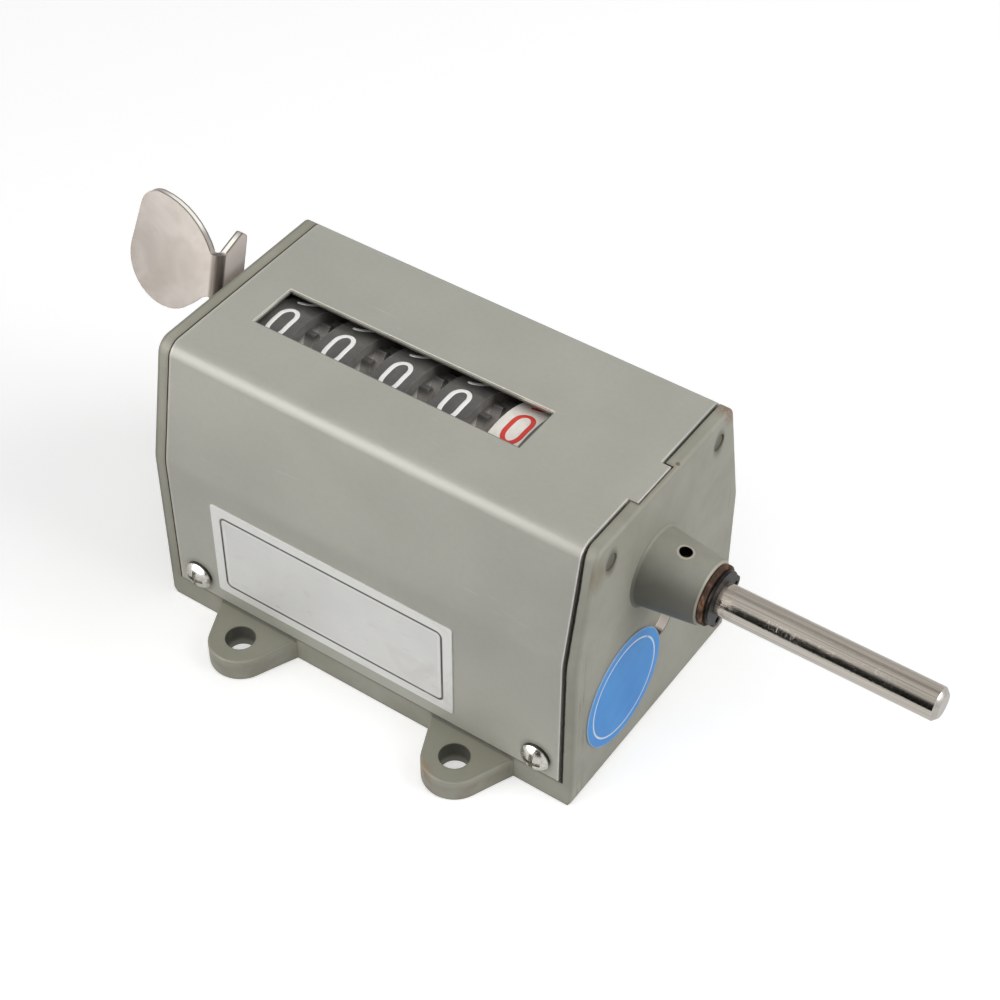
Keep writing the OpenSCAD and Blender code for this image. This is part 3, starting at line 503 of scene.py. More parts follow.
def name_plate_metal():
    """Pale aluminium plate with one ruled border and nothing inside it."""
    f = Finish("bare_name_plate")
    inset, corner, line = 2.2, 1.1, 0.42
    brushed = f.cloud(1.0, 3.0, 0.6, 0.0, (0.12, 6.0, 6.0))
    wide = f.cloud(0.05, 2.0, shift=3.0)
    f.base((232, 232, 230), (239, 239, 237), wide.rise(0.3, 0.7))
    f.shade(0.96 + 0.08 * brushed)

    # Distance from the middle of the ruled line: below 0 inside it
    in_x = abs(f.x - NAME_PLATE_AT[0]) - (NAME_PLATE_HALF[0] - inset)
    in_z = abs(f.z - NAME_PLATE_AT[1]) - (NAME_PLATE_HALF[1] - inset)
    out_x, out_z = (in_x + corner).most(0.0), (in_z + corner).most(0.0)
    off = (out_x * out_x + out_z * out_z) ** 0.5 - corner
    off = off.most(in_x.most(in_z).least(0.0))
    border = abs(off).fall(line / 2 - 0.06, line / 2 + 0.06)
    f.lay((246, 246, 243), 0.8 * off.rise(0.2, 0.4))
    # Painted highlight: a thin white line just inside the ruled border
    f.lay((247, 247, 244), 0.7 * abs(off + 0.62).fall(0.12, 0.26))
    worn = f.cloud(0.7, 4.0, 0.65, shift=12.0).rise(0.66, 0.74)
    f.lay((58, 55, 52), border * (1 - 0.6 * worn))

    # Finger marks, nicks and the plate's own edge
    thumb = f.cloud(0.12, 3.0, 0.6, 0.8, shift=18.0).rise(0.52, 0.72)
    f.lay((200, 198, 191), 0.25 * thumb)
    nick = f.cloud(0.7, 1.0, 0.5, 0.3, (0.3, 5.0, 5.0), 33.0).rise(0.72, 0.76)
    f.lay((168, 166, 160), 0.5 * nick * wide.rise(0.5, 0.6))
    f.lay((170, 168, 162), 0.4 * f.edges(0.25).rise(0.1, 0.4))

    rough = 0.34 + 0.12 * (brushed - 0.5) + 0.12 * thumb + 0.2 * border
    height = 0.004 * brushed + 0.03 * f.cloud(0.035, 1.0, shift=7.0)
    height = height - 0.006 * nick - 0.004 * border
    return f.close(rough, 0.1 * (1 - border), height, {"Specular IOR Level": 0.5})


def label_film():
    """Plain blue film label with one thin ring."""
    f = Finish("blue_film_label")
    from_middle = f.around(f.y, f.z, LABEL_AT)
    wide = f.cloud(0.09, 3.0, 0.6, 0.4)
    dots = f.cloud(3.0, 2.0, 0.6)
    f.base((34, 135, 216), (54, 149, 224), wide.rise(0.3, 0.7))
    f.shade(0.96 + 0.08 * dots)
    ring = abs(from_middle - (LABEL_R - 1.8)).fall(0.13, 0.22)
    gaps = f.cloud(0.6, 4.0, 0.65, shift=5.0).rise(0.64, 0.72)
    f.lay((226, 233, 240), 0.85 * ring * (1 - gaps))
    f.lay((205, 214, 222), 0.6 * from_middle.rise(LABEL_R - 0.2, LABEL_R - 0.04))
    rubbed = f.cloud(0.35, 4.0, 0.65, 0.6, shift=11.0).rise(0.66, 0.76)
    rubbed = rubbed * from_middle.rise(LABEL_R - 4.5, LABEL_R - 0.5)
    f.lay((150, 188, 226), 0.5 * rubbed)
    height = 0.05 * f.cloud(0.16, 2.0, 0.5, 0.5, shift=2.0) + 0.003 * dots
    rough = 0.3 + 0.14 * (wide - 0.5) + 0.2 * rubbed
    gloss = {"Coat Weight": 0.06, "Coat Roughness": 0.15, "Specular IOR Level": 0.25}
    return f.close(rough, 0.0, height, gloss)


def plated_screw():
    """Zinc-plated pan head with dirt in its cross."""
    f = Finish("plated_screw")
    fine = f.cloud(2.2, 4.0, 0.6)
    from_axis = f.around(abs(f.x), f.z, (SCREW_X, SCREW_Z))
    turned = f.node(
        "ShaderNodeMath", {"operation": "SINE"}, {0: from_axis * 42.0 + 3.0 * fine}
    )
    f.base((206, 204, 196), (232, 230, 222), fine.rise(0.3, 0.7))
    out = abs(f.y) - CASE_HALF_W
    deep = out.fall(1.15, 1.5) * from_axis.fall(2.0, 2.2) * out.rise(0.2, 0.4)
    f.lay((118, 114, 106), 0.6 * deep)
    # Painted shade: the foot of the head darker on its upper side
    foot = out.fall(0.45, 0.85) * from_axis.rise(2.2, 2.5) * (f.z - SCREW_Z).rise(-1.2, 0.6)
    f.lay((34, 31, 28), 0.9 * foot)
    f.lay((243, 241, 234), 0.5 * (f.edges(0.3) * (0.3 + fine)).rise(0.2, 0.4))
    rough = 0.2 + 0.16 * (fine - 0.3) + 0.4 * deep + 0.03 * turned
    return f.close(rough, 1.0 - 0.4 * deep, 0.0012 * turned + 0.006 * fine)


def ground_shaft():
    """Bright ground steel with long faint drawing marks."""
    f = Finish("ground_shaft_steel")
    drawn = f.cloud(1.0, 4.0, 0.65, 0.0, (0.035, 4.0, 4.0))
    rings = f.cloud(1.0, 3.0, 0.6, 0.0, (7.0, 0.4, 0.4), 8.0)
    f.base((186, 179, 169), (222, 216, 207), drawn.rise(0.25, 0.75))
    f.shade(0.95 + 0.1 * f.cloud(0.1, 3.0, 0.6, 0.3))
    tarnish = f.cloud(0.3, 4.0, 0.65, 0.6, (0.5, 1.0, 1.0), 3.0).rise(0.6, 0.78)
    f.lay((150, 132, 110), 0.4 * tarnish)
    near_hub = f.x.fall(SHAFT_FROM_X, SHAFT_FROM_X + 3.9)
    near_hub = near_hub * f.cloud(0.6, 4.0, 0.65, shift=23.0).rise(0.35, 0.65)
    f.lay((128, 96, 66), 0.45 * near_hub)
    end = f.x.rise(SHAFT_TIP_X - 0.1, SHAFT_TIP_X)
    f.lay((190, 186, 180), 0.8 * end)
    spots = f.specks(2.6, 0.14, 0.25)
    f.lay((92, 74, 58), 0.6 * spots)
    rough = 0.1 + 0.12 * (drawn - 0.4) + 0.2 * tarnish + 0.2 * near_hub + 0.14 * end

    # The reflections are torn over the free length, less so at both ends
    torn = f.cloud(1.0, 3.0, 0.7, 0.0, (2.6, 1.2, 1.2), 52.0)
    torn = torn * f.x.rise(SHAFT_FROM_X + 3.5, SHAFT_FROM_X + 13.5)
    torn = torn * f.x.fall(SHAFT_TIP_X - 9.5, SHAFT_TIP_X - 2.5)
    height = 0.0022 * drawn + 0.004 * rings * f.cloud(0.25, 3.0, shift=41.0)
    height = height + 0.042 * torn - 0.006 * spots
    return f.close(rough, 1.0 - 0.3 * near_hub, height)


def key_nickel():
    """Nickel-plated sheet, dulled by handling, with a painted dark reflection on its fold."""
    f = Finish("nickel_key_sheet")
    roll = f.cloud(1.0, 3.0, 0.6, 0.0, (0.5, 0.5, 0.05), 2.0)
    hand = f.cloud(0.11, 3.0, 0.6, 0.7, shift=6.0)
    fine = f.cloud(3.2, 3.0, 0.6)
    f.base((166, 159, 154), (179, 173, 169), hand.rise(0.3, 0.7))
    f.shade(0.975 + 0.05 * roll)
    haze = f.cloud(0.3, 4.0, 0.6, 0.4, shift=15.0).rise(0.55, 0.75)
    f.lay((163, 154, 142), 0.3 * haze)

    # The key leans, so its own directions are across its sheet and along its wing
    cos, sin = math.cos(math.radians(KEY_LEAN)), math.sin(math.radians(KEY_LEAN))
    across = (f.y - AXIS_Y) * cos - (f.z - AXIS_Z) * sin
    along = (f.y - AXIS_Y) * sin + (f.z - AXIS_Z) * cos
    # Painted dark reflection along the fold, broken up by noise
    fold = f.x.rise(KEY_FOLD_X - 0.3, KEY_FOLD_X + 0.3)
    fold = fold * across.fall(KEY_FOLD_Y - 0.3, KEY_FOLD_Y + 0.4)
    bent = f.node("ShaderNodeCombineXYZ", {}, {0: f.x * 2.6, 1: across * 2.6, 2: along * 0.05})
    fold_dark_noise = f.node("ShaderNodeTexNoise", {}, {"Vector": bent, "Scale": 1.0, "Detail": 3.0})
    f.lay((78, 70, 62), fold * (0.35 + 0.75 * fold_dark_noise))
    # Painted light: the arm's inner face lighter and less metallic
    inner = f.x.rise(KEY_FACE_X - 0.1, KEY_FACE_X - 0.04)
    inner = inner * across.rise(KEY_FOLD_Y + 0.1, KEY_FOLD_Y + 0.6)
    f.lay((226, 216, 211), inner)

    # Edges: a painted dark reflection beside them, bright on them, and on the cut rim a painted
    # highlight in its middle with painted dark reflections along its borders
    edge = f.edges(0.45)
    f.lay((104, 96, 84), 0.65 * edge.rise(0.01, 0.04) * edge.fall(0.1, 0.2) * (1 - fold))
    bright = (edge * (0.55 + fine)).rise(0.12, 0.3) * (1 - fold)
    f.lay((236, 231, 222), 0.8 * bright)
    nx, ny, nz = f.facing()
    wing = f.x.fall(KEY_FOLD_X - 0.6, KEY_FOLD_X - 0.2)
    arm = across.rise(KEY_FOLD_Y + 0.2, KEY_FOLD_Y + 0.6)
    off_mid = (wing * abs(across - KEY_WING_MID)).most(arm * abs(f.x - KEY_ARM_MID))
    rim = wing * abs(ny * cos - nz * sin).fall(0.5, 0.8)
    rim = rim.most(arm * abs(nx).fall(0.5, 0.8))
    rim_highlight = wing * f.x.rise(KEY_FOLD_X - 13.4, KEY_FOLD_X - 9.4)
    rim_highlight = rim_highlight * f.x.fall(KEY_FOLD_X - 3.9, KEY_FOLD_X - 1.9)
    rim_highlight = rim_highlight.most(arm * across.fall(0.6, 2.6))
    # Painted dark reflections on the rim's borders, then its painted highlight
    f.lay((92, 84, 70), 0.85 * rim * off_mid.rise(0.3, 0.55))
    f.lay((250, 247, 240), rim * rim_highlight * off_mid.fall(0.3, 0.5))

    scratch = f.cloud(0.6, 1.0, 0.5, 0.5, (3.6, 3.6, 0.35), 29.0).rise(0.7, 0.74)
    pits = f.specks(2.9, 0.13, 0.22)
    f.lay((120, 108, 94), 0.55 * pits)
    rough = 0.46 + 0.1 * (hand - 0.5) + 0.08 * (fine - 0.5) - 0.24 * bright + 0.08 * haze
    height = 0.003 * fine + 0.012 * f.cloud(0.2, 2.0, shift=9.0) - 0.004 * scratch - 0.006 * pits
    return f.close(rough, 0.92 - 0.6 * inner, height)


def wheel_moulding(name, low, high, worn, shadow_band_from, pit_light):
    """Moulded number wheel: painted shade and light on its gear, tooth tips rubbed and partly a
    painted highlight, a painted shadow along the right-hand edge.
    """
    f = Finish(name)
    axis_off = f.around(f.y, f.z, (AXIS_Y, AXIS_Z))
    side = f.facing()[0]
    flow = f.cloud(0.35, 3.0, 0.6, 0.6)
    fine = f.cloud(3.5, 3.0, 0.6)
    f.base(low, high, flow.rise(0.3, 0.7))
    f.shade(0.94 + 0.12 * fine)
    rub = (f.edges(0.35) * (0.35 + 1.1 * f.cloud(0.9, 4.0, 0.65, shift=5.0))).rise(0.16, 0.4)
    f.lay(worn, 0.22 * rub)
    gear = axis_off.fall(GEAR_TIP_R + 0.02, GEAR_TIP_R + 0.05)
    between = gear * axis_off.fall(GEAR_TIP_R - 2.15, GEAR_TIP_R - 0.15)
    # Painted shade on the gear teeth, painted light in the pits between them and on walls facing
    # right
    f.shade(1 - 0.25 * gear + pit_light * between)
    f.shade(1 + 0.25 * pit_light * side.rise(0.5, 0.9))
    # Tooth tips slightly lighter: rubbed, and partly a painted highlight
    f.lay(worn, 0.06 * gear * axis_off.rise(GEAR_TIP_R - 0.35, GEAR_TIP_R - 0.15))
    # Painted shadow along the wheel's right-hand edge
    f.lay((50, 46, 44), 0.9 * f.x.rise(shadow_band_from, shadow_band_from + 0.2))
    f.lay((168, 166, 160), 0.35 * f.specks(2.2, 0.1, 0.25))
    rough = 0.42 + 0.14 * (flow - 0.5) + 0.1 * (fine - 0.5) - 0.08 * rub
    return f.close(rough, 0.0, 0.006 * flow + 0.004 * fine, {"Specular IOR Level": 0.5})


def digit_ink(name, fresh, faded):
    """Stamped ink with a thin, slightly uneven edge."""
    f = Finish(name)
    blot = f.cloud(1.3, 4.0, 0.65, 0.3)
    f.base(fresh, faded, blot.rise(0.58, 0.8))
    f.shade(0.97 + 0.06 * f.cloud(5.0, 2.0))
    return f.close(0.4 + 0.16 * (blot - 0.5), 0.0, 0.008 * blot)


def plain_metal(name, low, high, stain, amount, rough, metallic=1.0):
    """A turned or stamped piece: two shades, stains and fine tool marks."""
    f = Finish(name)
    wide = f.cloud(0.5, 4.0, 0.62, 0.3)
    fine = f.cloud(3.0, 3.0, 0.6)
    marks = f.cloud(1.0, 3.0, 0.6, 0.0, (8.0, 0.6, 0.6), 4.0)
    f.base(low, high, wide.rise(0.3, 0.7))
    f.shade(0.94 + 0.12 * fine)
    spot = f.cloud(0.7, 5.0, 0.7, 0.5, shift=13.0)
    spot = spot.rise(0.72 - 0.5 * amount, 0.86 - 0.5 * amount)
    f.lay(stain, 0.8 * spot)
    bright = (f.edges(0.25) * (0.4 + fine)).rise(0.2, 0.45)
    f.lay(high, 0.5 * bright)
    roughness = rough + 0.16 * (wide - 0.5) + 0.25 * spot - 0.08 * bright
    height = 0.003 * fine + 0.0025 * marks + 0.01 * spot
    return f.close(roughness, metallic * (1 - 0.7 * spot), height)


finishes = {
    "cast_grey": cast_paint(),
    "cover_paint": cover_paint(),
    "screw_steel": plated_screw(),
    "plate_metal": name_plate_metal(),
    "label_blue": label_film(),
    "bronze": plain_metal(
        "oiled_bronze", (128, 88, 54), (176, 132, 84), (66, 42, 28), 0.5, 0.42
    ),
    "bright_steel": ground_shaft(),
    "dark_steel": plain_metal(
        "blackened_spring_steel", (22, 20, 19), (52, 49, 47), (70, 48, 34), 0.25, 0.36, 0.85
    ),
    "rusty_steel": plain_metal(
        "rusty_washer_steel", (84, 58, 42), (146, 104, 72), (38, 26, 20), 0.66, 0.62, 0.35
    ),
    "key_nickel": key_nickel(),
    "wheel_black": wheel_moulding(
        "black_number_wheel", (80, 78, 76), (92, 90, 87), (172, 170, 166), 30.0, 4.6
    ),
    "wheel_white": wheel_moulding(
        "white_number_wheel", (226, 221, 212), (240, 236, 228), (246, 244, 238), 19.5, 0.0
    ),
    "pawl_brass": plain_metal(
        "pawl_brass", (160, 130, 72), (198, 168, 102), (96, 74, 40), 0.3, 0.36
    ),
    "pinion_plastic": plain_metal(
        "nylon_pinion", (190, 170, 118), (214, 196, 148), (120, 100, 64), 0.25, 0.5, 0.0
    ),
}
white_ink = digit_ink("white_digit_ink", (248, 248, 245), (222, 222, 218))
red_ink = digit_ink("red_digit_ink", (212, 58, 46), (226, 104, 88))

SHARP_TURN = math.radians(38)


def put(bm, name, material):
    """A bmesh as an object of the scene."""
    mesh = bpy.data.meshes.new(name)
    bm.to_mesh(mesh)
    bm.free()
    mesh.materials.append(material)
    made = bpy.data.objects.new(name, mesh)
    bpy.context.scene.collection.objects.link(made)
    return made


def set_down(bm, name, body, slot, finish=None, stands_for=None):
    """Turns a bmesh into a piece that rides on a body, with its own finish or its slot's finish.
    """
    for face in bm.faces:
        face.smooth = True
    for edge in bm.edges:
        edge.smooth = len(edge.link_faces) == 2 and edge.calc_face_angle(0.0) < SHARP_TURN
    piece = put(bm, name, finish or finishes[slot])
    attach(piece, body)
    if stands_for:
        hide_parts(stands_for)
    return piece


def solid(node):
    """A CAD solid as one closed bmesh in millimetres, its plane faces joined."""
    bm = bmesh.new()
    bm.from_mesh(frame["nodes"][node].data)
    bmesh.ops.scale(bm, vec=(1 / MM,) * 3, verts=bm.verts)
    bmesh.ops.remove_doubles(bm, verts=bm.verts, dist=0.002)
    bmesh.ops.dissolve_limit(
        bm, angle_limit=math.radians(0.5), verts=bm.verts, edges=bm.edges
    )
    return bm


def round_edges(bm, width_of, segments, least_turn):
    """Rounds each sharp edge by the width that width_of gives for it, widest first."""
    turn = math.radians(least_turn)
    widths = {}
    for edge in bm.edges:
        if len(edge.link_faces) == 2 and edge.calc_face_angle(0.0) > turn:
            width = width_of(edge)
            if width:
                widths.setdefault(width, []).append(edge)
    for width in sorted(widths, reverse=True):
        bmesh.ops.bevel(
            bm,
            geom=[e for e in widths[width] if e.is_valid],
            offset=width,
            offset_type="OFFSET",
            segments=segments,
            profile=0.5,
            affect="EDGES",
            clamp_overlap=True,
        )


def dress(node, body, slot, width_of, segments, name, least_turn=30):
    """The CAD solid with rounded edges, standing for its node."""
    bm = solid(node)
    round_edges(bm, width_of, segments, least_turn)
    bmesh.ops.scale(bm, vec=(MM,) * 3, verts=bm.verts)
    piece = set_down(bm, name, body, slot, stands_for=node)
    # Wide flat faces stay flat beside their rounded edges
    even = piece.modifiers.new("even_normals", "WEIGHTED_NORMAL")
    even.keep_sharp = True
    even.weight = 100


def evenly(width):
    """The same width for every edge."""
    return lambda edge: width


def casting_width(edge):
    """How round each edge of the casting is."""
    a, b = (v.co for v in edge.verts)
    mid = (a + b) / 2
    if all(abs(abs(end.x) - PLATE_X) < 0.01 for end in (a, b)):
        at_hub = math.hypot(mid.y - AXIS_Y, mid.z - AXIS_Z) < HUB_FOOT_R + 1.7
        in_well = math.hypot(mid.y - RECESS_AT[0], mid.z - RECESS_AT[1]) < RECESS_R + 0.1
        in_dimple = math.hypot(abs(mid.y) - DIMPLE_Y, mid.z - DIMPLE_Z) < DIMPLE_R + 0.2
        if at_hub or in_well:
            return 0.15
        if in_dimple:
            return 0.1
        return 0.7 if mid.x > 0 else 0.3
    if abs(mid.y) > CASE_HALF_W + 0.1 and mid.z < EAR_TOP_Z + 0.2:
        hole = math.hypot(abs(mid.x) - EAR_X, abs(mid.y) - EAR_Y) < EAR_HOLE_R + 0.05
        if mid.z > EAR_TOP_Z - 0.1:
            return 0.2 if hole else 0.45
        return 0.25 if mid.z < 0.05 and not hole else 0
    return 0.12 if abs(mid.x) > PLATE_X - 3.0 else 0


def wheel_slot(place):
    return "wheel_white" if place == "units" else "wheel_black"


dress("frame", "case", "cast_grey", casting_width, 3, "painted_casting")

# Each row: CAD node, body, slot, roundness of its edges, segments and the piece's name
for node, body, slot, width, segments, name in (
    ("cover", "case", "cover_paint", 0.16, 2, "folded_cover"),
    ("cover_screws", "case", "screw_steel", 0.1, 2, "pan_head_screws"),
    ("name_plate", "case", "plate_metal", 0.08, 2, "bare_name_plate"),
    ("round_label", "case", "label_blue", 0.08, 2, "blue_round_label"),
    ("reset_key", "reset", "key_nickel", 0.22, 3, "folded_reset_key"),
    ("drive_shaft", "drive", "bright_steel", 0.1, 2, "ground_drive_shaft"),
    ("shaft_ring", "drive", "dark_steel", 0.09, 2, "snap_ring"),
    ("thrust_washer", "drive", "rusty_steel", 0.1, 2, "rusty_thrust_washer"),
    ("key_nut", "reset", "bright_steel", 0.25, 2, "key_hex_nut"),
    ("key_washer", "reset", "dark_steel", 0.12, 2, "key_spring_washer"),
    ("drive_bush", "case", "bronze", 0.12, 2, "bronze_drive_bush"),
    ("reset_bush", "case", "bronze", 0.12, 2, "bronze_reset_bush"),
):
    dress(node, body, slot, evenly(width), segments, name)
for place in WHEEL_X:
    dress(
        place + "_wheel", place, wheel_slot(place), evenly(0.09), 1, place + "_number_wheel", 50
    )

# Digits: sizes in millimetres, and how far the black wheels stand turned, in degrees
DIGIT_HALF_H = 3.65
STROKE = 0.86
INK_STEP = 0.26
INK_HALF_W = 2.45
INK_LOW, INK_HIGH = -0.05, 0.035
BLACK_LEAD = -3.6


def sweep(mid_x, mid_y, half_w, half_h, start, end):
    """Points along part of an oval, by angle in degrees."""
    count = max(4, round(abs(end - start) / 9))
    turns = [math.radians(start + (end - start) * i / count) for i in range(count + 1)]
    return [(mid_x + half_w * math.cos(t), mid_y + half_h * math.sin(t)) for t in turns]


def pen_strokes():
    """The pen's paths for the ten plain digits, in millimetres about their middles."""
    h = DIGIT_HALF_H
    arch = sweep(0, 1.35, 1.58, h - 1.35, 0, 180)
    bowl = sweep(0, -1.35, 1.58, h - 1.35, 180, 360)
    six = [sweep(0, -1.75, 1.58, 1.9, 0, 360), sweep(1.75, -1.75, 3.33, 5.4, 97, 180)]
    return (
        [arch + bowl + arch[:1]],
        [[(-1.15, 2.3), (0.25, h), (0.25, -h)]],
        [sweep(0, h - 1.75, 1.55, 1.75, 168, -32) + [(-1.6, -h), (1.65, -h)]],
        [[(-1.5, h), (1.5, h), (-0.2, 0.75)] + sweep(-0.1, -1.45, 1.68, h - 1.45, 80, -158)],
        [[(0.75, -h), (0.75, h), (-1.75, -1.55), (1.8, -1.55)]],
        [[(1.45, h), (-1.3, h), (-1.45, 0.35)] + sweep(-0.05, -1.4, 1.65, h - 1.4, 135, -155)],
        six,
        [[(-1.6, h), (1.6, h), (-0.45, -h)]],
        [sweep(0, 1.8, 1.35, h - 1.8, 0, 360), sweep(0, -1.75, 1.58, h - 1.75, 0, 360)],
        [[(-x, -y) for x, y in path] for path in six],
    )


def off_stroke(x, y, paths):
    """Distance from the edge of the ink: below 0 inside it."""
    best = math.inf
    for path in paths:
        for (ax, ay), (bx, by) in zip(path, path[1:]):
            dx, dy = bx - ax, by - ay
            t = ((x - ax) * dx + (y - ay) * dy) / (dx * dx + dy * dy)
            t = min(1.0, max(0.0, t))
            best = min(best, math.hypot(x - ax - t * dx, y - ay - t * dy))
    return best - STROKE / 2


def ink_sheet(paths):
    """Points and faces of one digit: a fine grid cut off along the edge of the ink."""
    cols = math.ceil(INK_HALF_W / INK_STEP)
    rows = math.ceil((DIGIT_HALF_H + STROKE) / INK_STEP)
    level = {
        (i, j): off_stroke(i * INK_STEP, j * INK_STEP, paths)
        for i in range(-cols, cols + 1)
        for j in range(-rows, rows + 1)
    }
    points, faces, known = [], [], {}

    def point(key, x, y):
        if key not in known:
            known[key] = len(points)
            points.append((x * INK_STEP, y * INK_STEP))
        return known[key]

    for i in range(-cols, cols):
        for j in range(-rows, rows):
            corners = [(i, j), (i + 1, j), (i + 1, j + 1), (i, j + 1)]
            face = []
            for a, b in zip(corners, corners[1:] + corners[:1]):
                if level[a] < 0:
                    face.append(point(a, *a))
                if (level[a] < 0) != (level[b] < 0):
                    t = level[a] / (level[a] - level[b])
                    x, y = a[0] + t * (b[0] - a[0]), a[1] + t * (b[1] - a[1])
                    face.append(point((min(a, b), max(a, b)), x, y))
            if len(face) > 2:
                faces.append(face)
    return points, faces


INK_SHEETS = [ink_sheet(paths) for paths in pen_strokes()]


def number_band(place, lead, ink):
    """The ten digits round one wheel, each a thin closed solid a hair proud of its rim."""
    bm = bmesh.new()
    for digit, (points, faces) in enumerate(INK_SHEETS):
        middle = math.radians(lead - digit * 360 / len(INK_SHEETS))

        def on_rim(x, y, lift):
            turn = middle + y / WHEEL_R
            radius = WHEEL_R + lift
            spot = (
                WHEEL_X[place] + x,
                AXIS_Y + radius * math.sin(turn),
                AXIS_Z + radius * math.cos(turn),
            )
            return bm.verts.new([c * MM for c in spot])

        top = [on_rim(x, y, INK_HIGH) for x, y in points]
        foot = [on_rim(x, y, INK_LOW) for x, y in points]
        steps = [step for face in faces for step in zip(face, face[1:] + face[:1])]
        inner = set(steps)
        for face in faces:
            bm.faces.new([top[i] for i in face])
            bm.faces.new([foot[i] for i in reversed(face)])
        for a, b in steps:
            if (b, a) not in inner:
                bm.faces.new([top[b], top[a], foot[a], foot[b]])
    set_down(bm, place + "_digits", place, wheel_slot(place), ink)


for place in WHEEL_X:
    if place == "units":
        number_band(place, 0.0, red_ink)
    else:
        number_band(place, BLACK_LEAD, white_ink)

# The inner pieces keep their CAD shapes and take their slot's finish
slot_of = {row["node"]: row["material_slot"] for row in frame["record"]["subparts"]}
for name, node in frame["nodes"].items():
    if not node.hide_render:
        node.data.materials.clear()
        node.data.materials.append(finishes[slot_of[name]])

# The studio, in metres and watts
FLOOR_HALF = 3.0
FLOOR_DROP = 0.0001
FLOOR_GLOW = 0.4
FLOOR_IN_METAL = 0.12
WORLD_LIGHT = 0.36
LAMP_AIM = Vector((0.01, 0.0, 0.03))


def floor_finish():
    """Matt white that glows to the lens, fully far away, and a little to metal."""
    f = Finish("pale_floor")
    matt = f.node("ShaderNodeBsdfDiffuse", {}, {"Color": (0.8, 0.8, 0.8, 1)})
    far = f.around(f.x, f.y, (0.0, 0.0)).rise(450.0, 1300.0)
    shine = f.seen(FLOOR_IN_METAL) * (FLOOR_GLOW + (1 - FLOOR_GLOW) * far)
    light = f.node("ShaderNodeEmission", {}, {"Color": (1, 1, 1, 1), "Strength": shine})
    return f.show(f.node("ShaderNodeAddShader", {}, {0: matt, 1: light}))


def lay_floor():
    bm = bmesh.new()
    bmesh.ops.create_grid(bm, x_segments=2, y_segments=2, size=FLOOR_HALF)
    bmesh.ops.translate(bm, vec=(0, 0, -FLOOR_DROP), verts=bm.verts)
    floor = put(bm, "studio_floor", floor_finish())


def light_world():
    """White to the lens and to the metal, softer as light."""
    world = bpy.data.worlds.new("studio_world")
    bpy.context.scene.world = world
    world.use_nodes = True
    n = Nodes(world.node_tree)
    strength = WORLD_LIGHT + (1 - WORLD_LIGHT) * n.seen(1.0)
    back = n.node("ShaderNodeBackground", {}, {"Strength": strength})
    n.node("ShaderNodeOutputWorld", {}, {0: back})


def lamp(name, towards, distance, size, watts, colour=(1, 1, 1)):
    """A soft square lamp that hangs in one direction and faces the counter."""
    data = bpy.data.lights.new(name, "AREA")
    data.size = size
    data.energy = watts
    data.color = colour
    hung = bpy.data.objects.new(name, data)
    bpy.context.scene.collection.objects.link(hung)
    way = Vector(towards).normalized()
    hung.location = LAMP_AIM + way * distance
    hung.rotation_euler = (-way).to_track_quat("-Z", "Y").to_euler()


lay_floor()
light_world()
lamp("front_softbox", (-0.42, -0.68, 0.6), 1.5, 0.8, 4.35, (1.0, 0.99, 0.97))
lamp("back_right_softbox", (0.74, 0.22, 0.6), 0.8, 0.5, 3.35)
lamp("top_softbox", (0.15, -0.4, 0.9), 0.8, 0.5, 1.5)

# Cards that only reflections show, as strips of a half-pipe round a line along the case.
# Each row: lower and upper elevation from the front, in degrees, and brightness.
SHAFT_CARDS = (
    (-12, 25, 0.01),
    (25, 31, 0.05),
    (31, 36, 0.24),
    (36, 42, 0.4),
    (42, 54, 0.55),
    (54, 104, 0.6),
    (104, 124, 0.4),
    (124, 178, 0.55),
)
FOLD_CARDS = (
    (-14, 0, 3.2),
    (0, 16, 5.8),
    (16, 44, 7.0),
    (44, 56, 4.2),
)
KEY_CARDS = ((-80, 38, 0.86),)
CARD_STEPS = 4


def card_finish(name, brightness):
    f = Finish(name)
    light = {"Color": (1.0, 0.98, 0.95, 1), "Strength": brightness}
    return f.show(f.node("ShaderNodeEmission", {}, light))


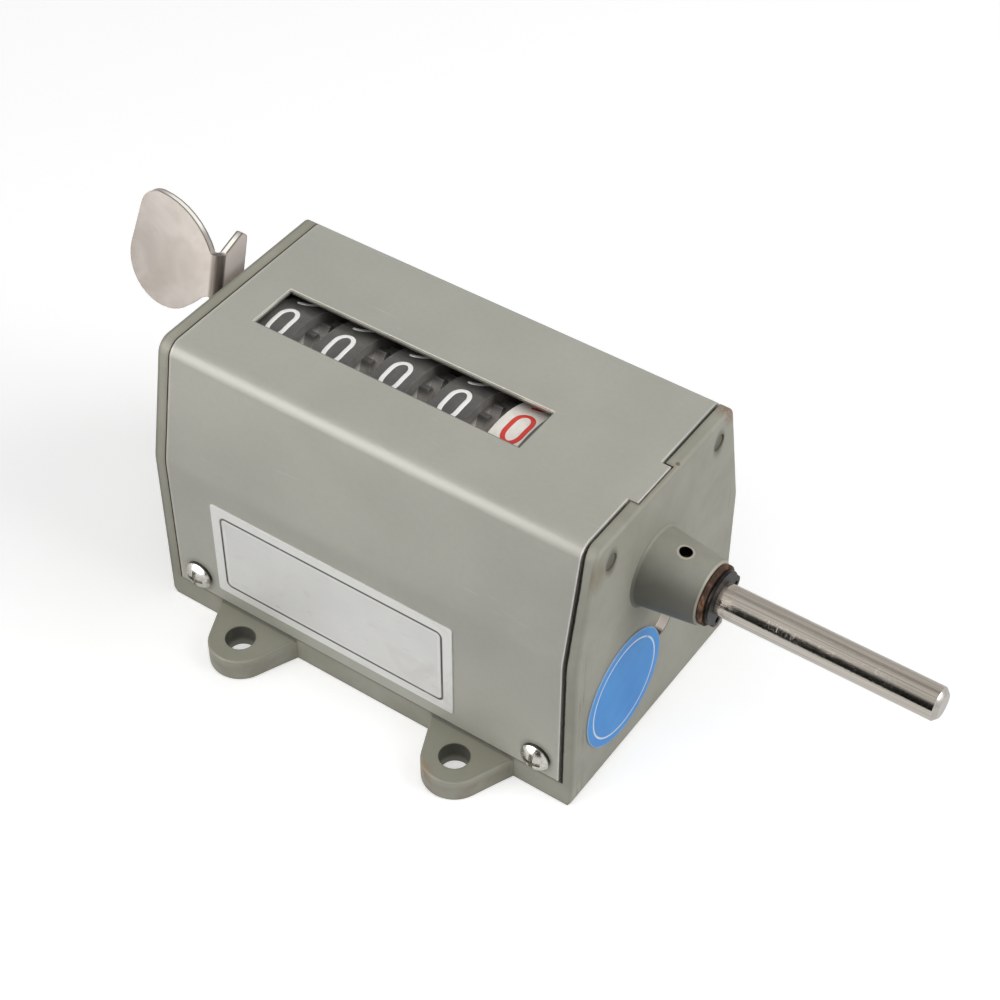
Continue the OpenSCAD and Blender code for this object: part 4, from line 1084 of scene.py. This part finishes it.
def hang_cards(name, axis, radius, span, rows):
    """Bright and dark strips round an axis (y, z), out of the picture."""
    for index, (low, high, brightness) in enumerate(rows):
        bm = bmesh.new()
        lines = []
        for step in range(CARD_STEPS + 1):
            turn = math.radians(low + (high - low) * step / CARD_STEPS)
            y = axis[0] - radius * math.cos(turn)
            z = axis[1] + radius * math.sin(turn)
            lines.append([bm.verts.new((x * MM, y * MM, z * MM)) for x in span])
        for (a, b), (c, d) in zip(lines, lines[1:]):
            bm.faces.new((a, b, d, c))
        title = f"{name}_{index}"
        card = put(bm, title, card_finish(title, brightness))
        card.visible_camera = False
        card.visible_diffuse = False
        card.visible_shadow = False


hang_cards("shaft_card", (AXIS_Y, AXIS_Z), 110.0, (14.0, 88.0), SHAFT_CARDS)
hang_cards("fold_card", (-18.0, 56.0), 120.0, (-170.0, 12.0), FOLD_CARDS)
hang_cards("key_card", (-8.0, 50.0), 46.0, (-150.0, -74.0), KEY_CARDS)

# The photograph's camera: place in millimetres, lens and film in millimetres, degrees
CAMERA_AT = (166.61, -225.08, 308.11)
CAMERA_LENS, CAMERA_FILM = 79.59, 36.0
CAMERA_TURNS = (34.47, 44.96, 0.25)


def set_camera():
    """The camera stands where the photograph was taken from."""
    data = bpy.data.cameras.new("photo_camera")
    data.sensor_width = CAMERA_FILM
    data.lens = CAMERA_LENS
    data.clip_start = 0.01
    data.clip_end = 20.0
    camera = bpy.data.objects.new("photo_camera", data)
    bpy.context.scene.collection.objects.link(camera)
    azimuth, elevation, roll = (math.radians(a) for a in CAMERA_TURNS)
    back = Vector(
        (
            math.sin(azimuth) * math.cos(elevation),
            -math.cos(azimuth) * math.cos(elevation),
            math.sin(elevation),
        )
    )
    turn = (-back).to_track_quat("-Z", "Y").to_matrix() @ Matrix.Rotation(roll, 3, "Z")
    camera.matrix_world = Matrix.Translation(Vector(CAMERA_AT) * MM) @ turn.to_4x4()
    bpy.context.scene.camera = camera


set_camera()
bpy.context.scene.view_settings.view_transform = "Standard"

bpy.context.view_layer.update()
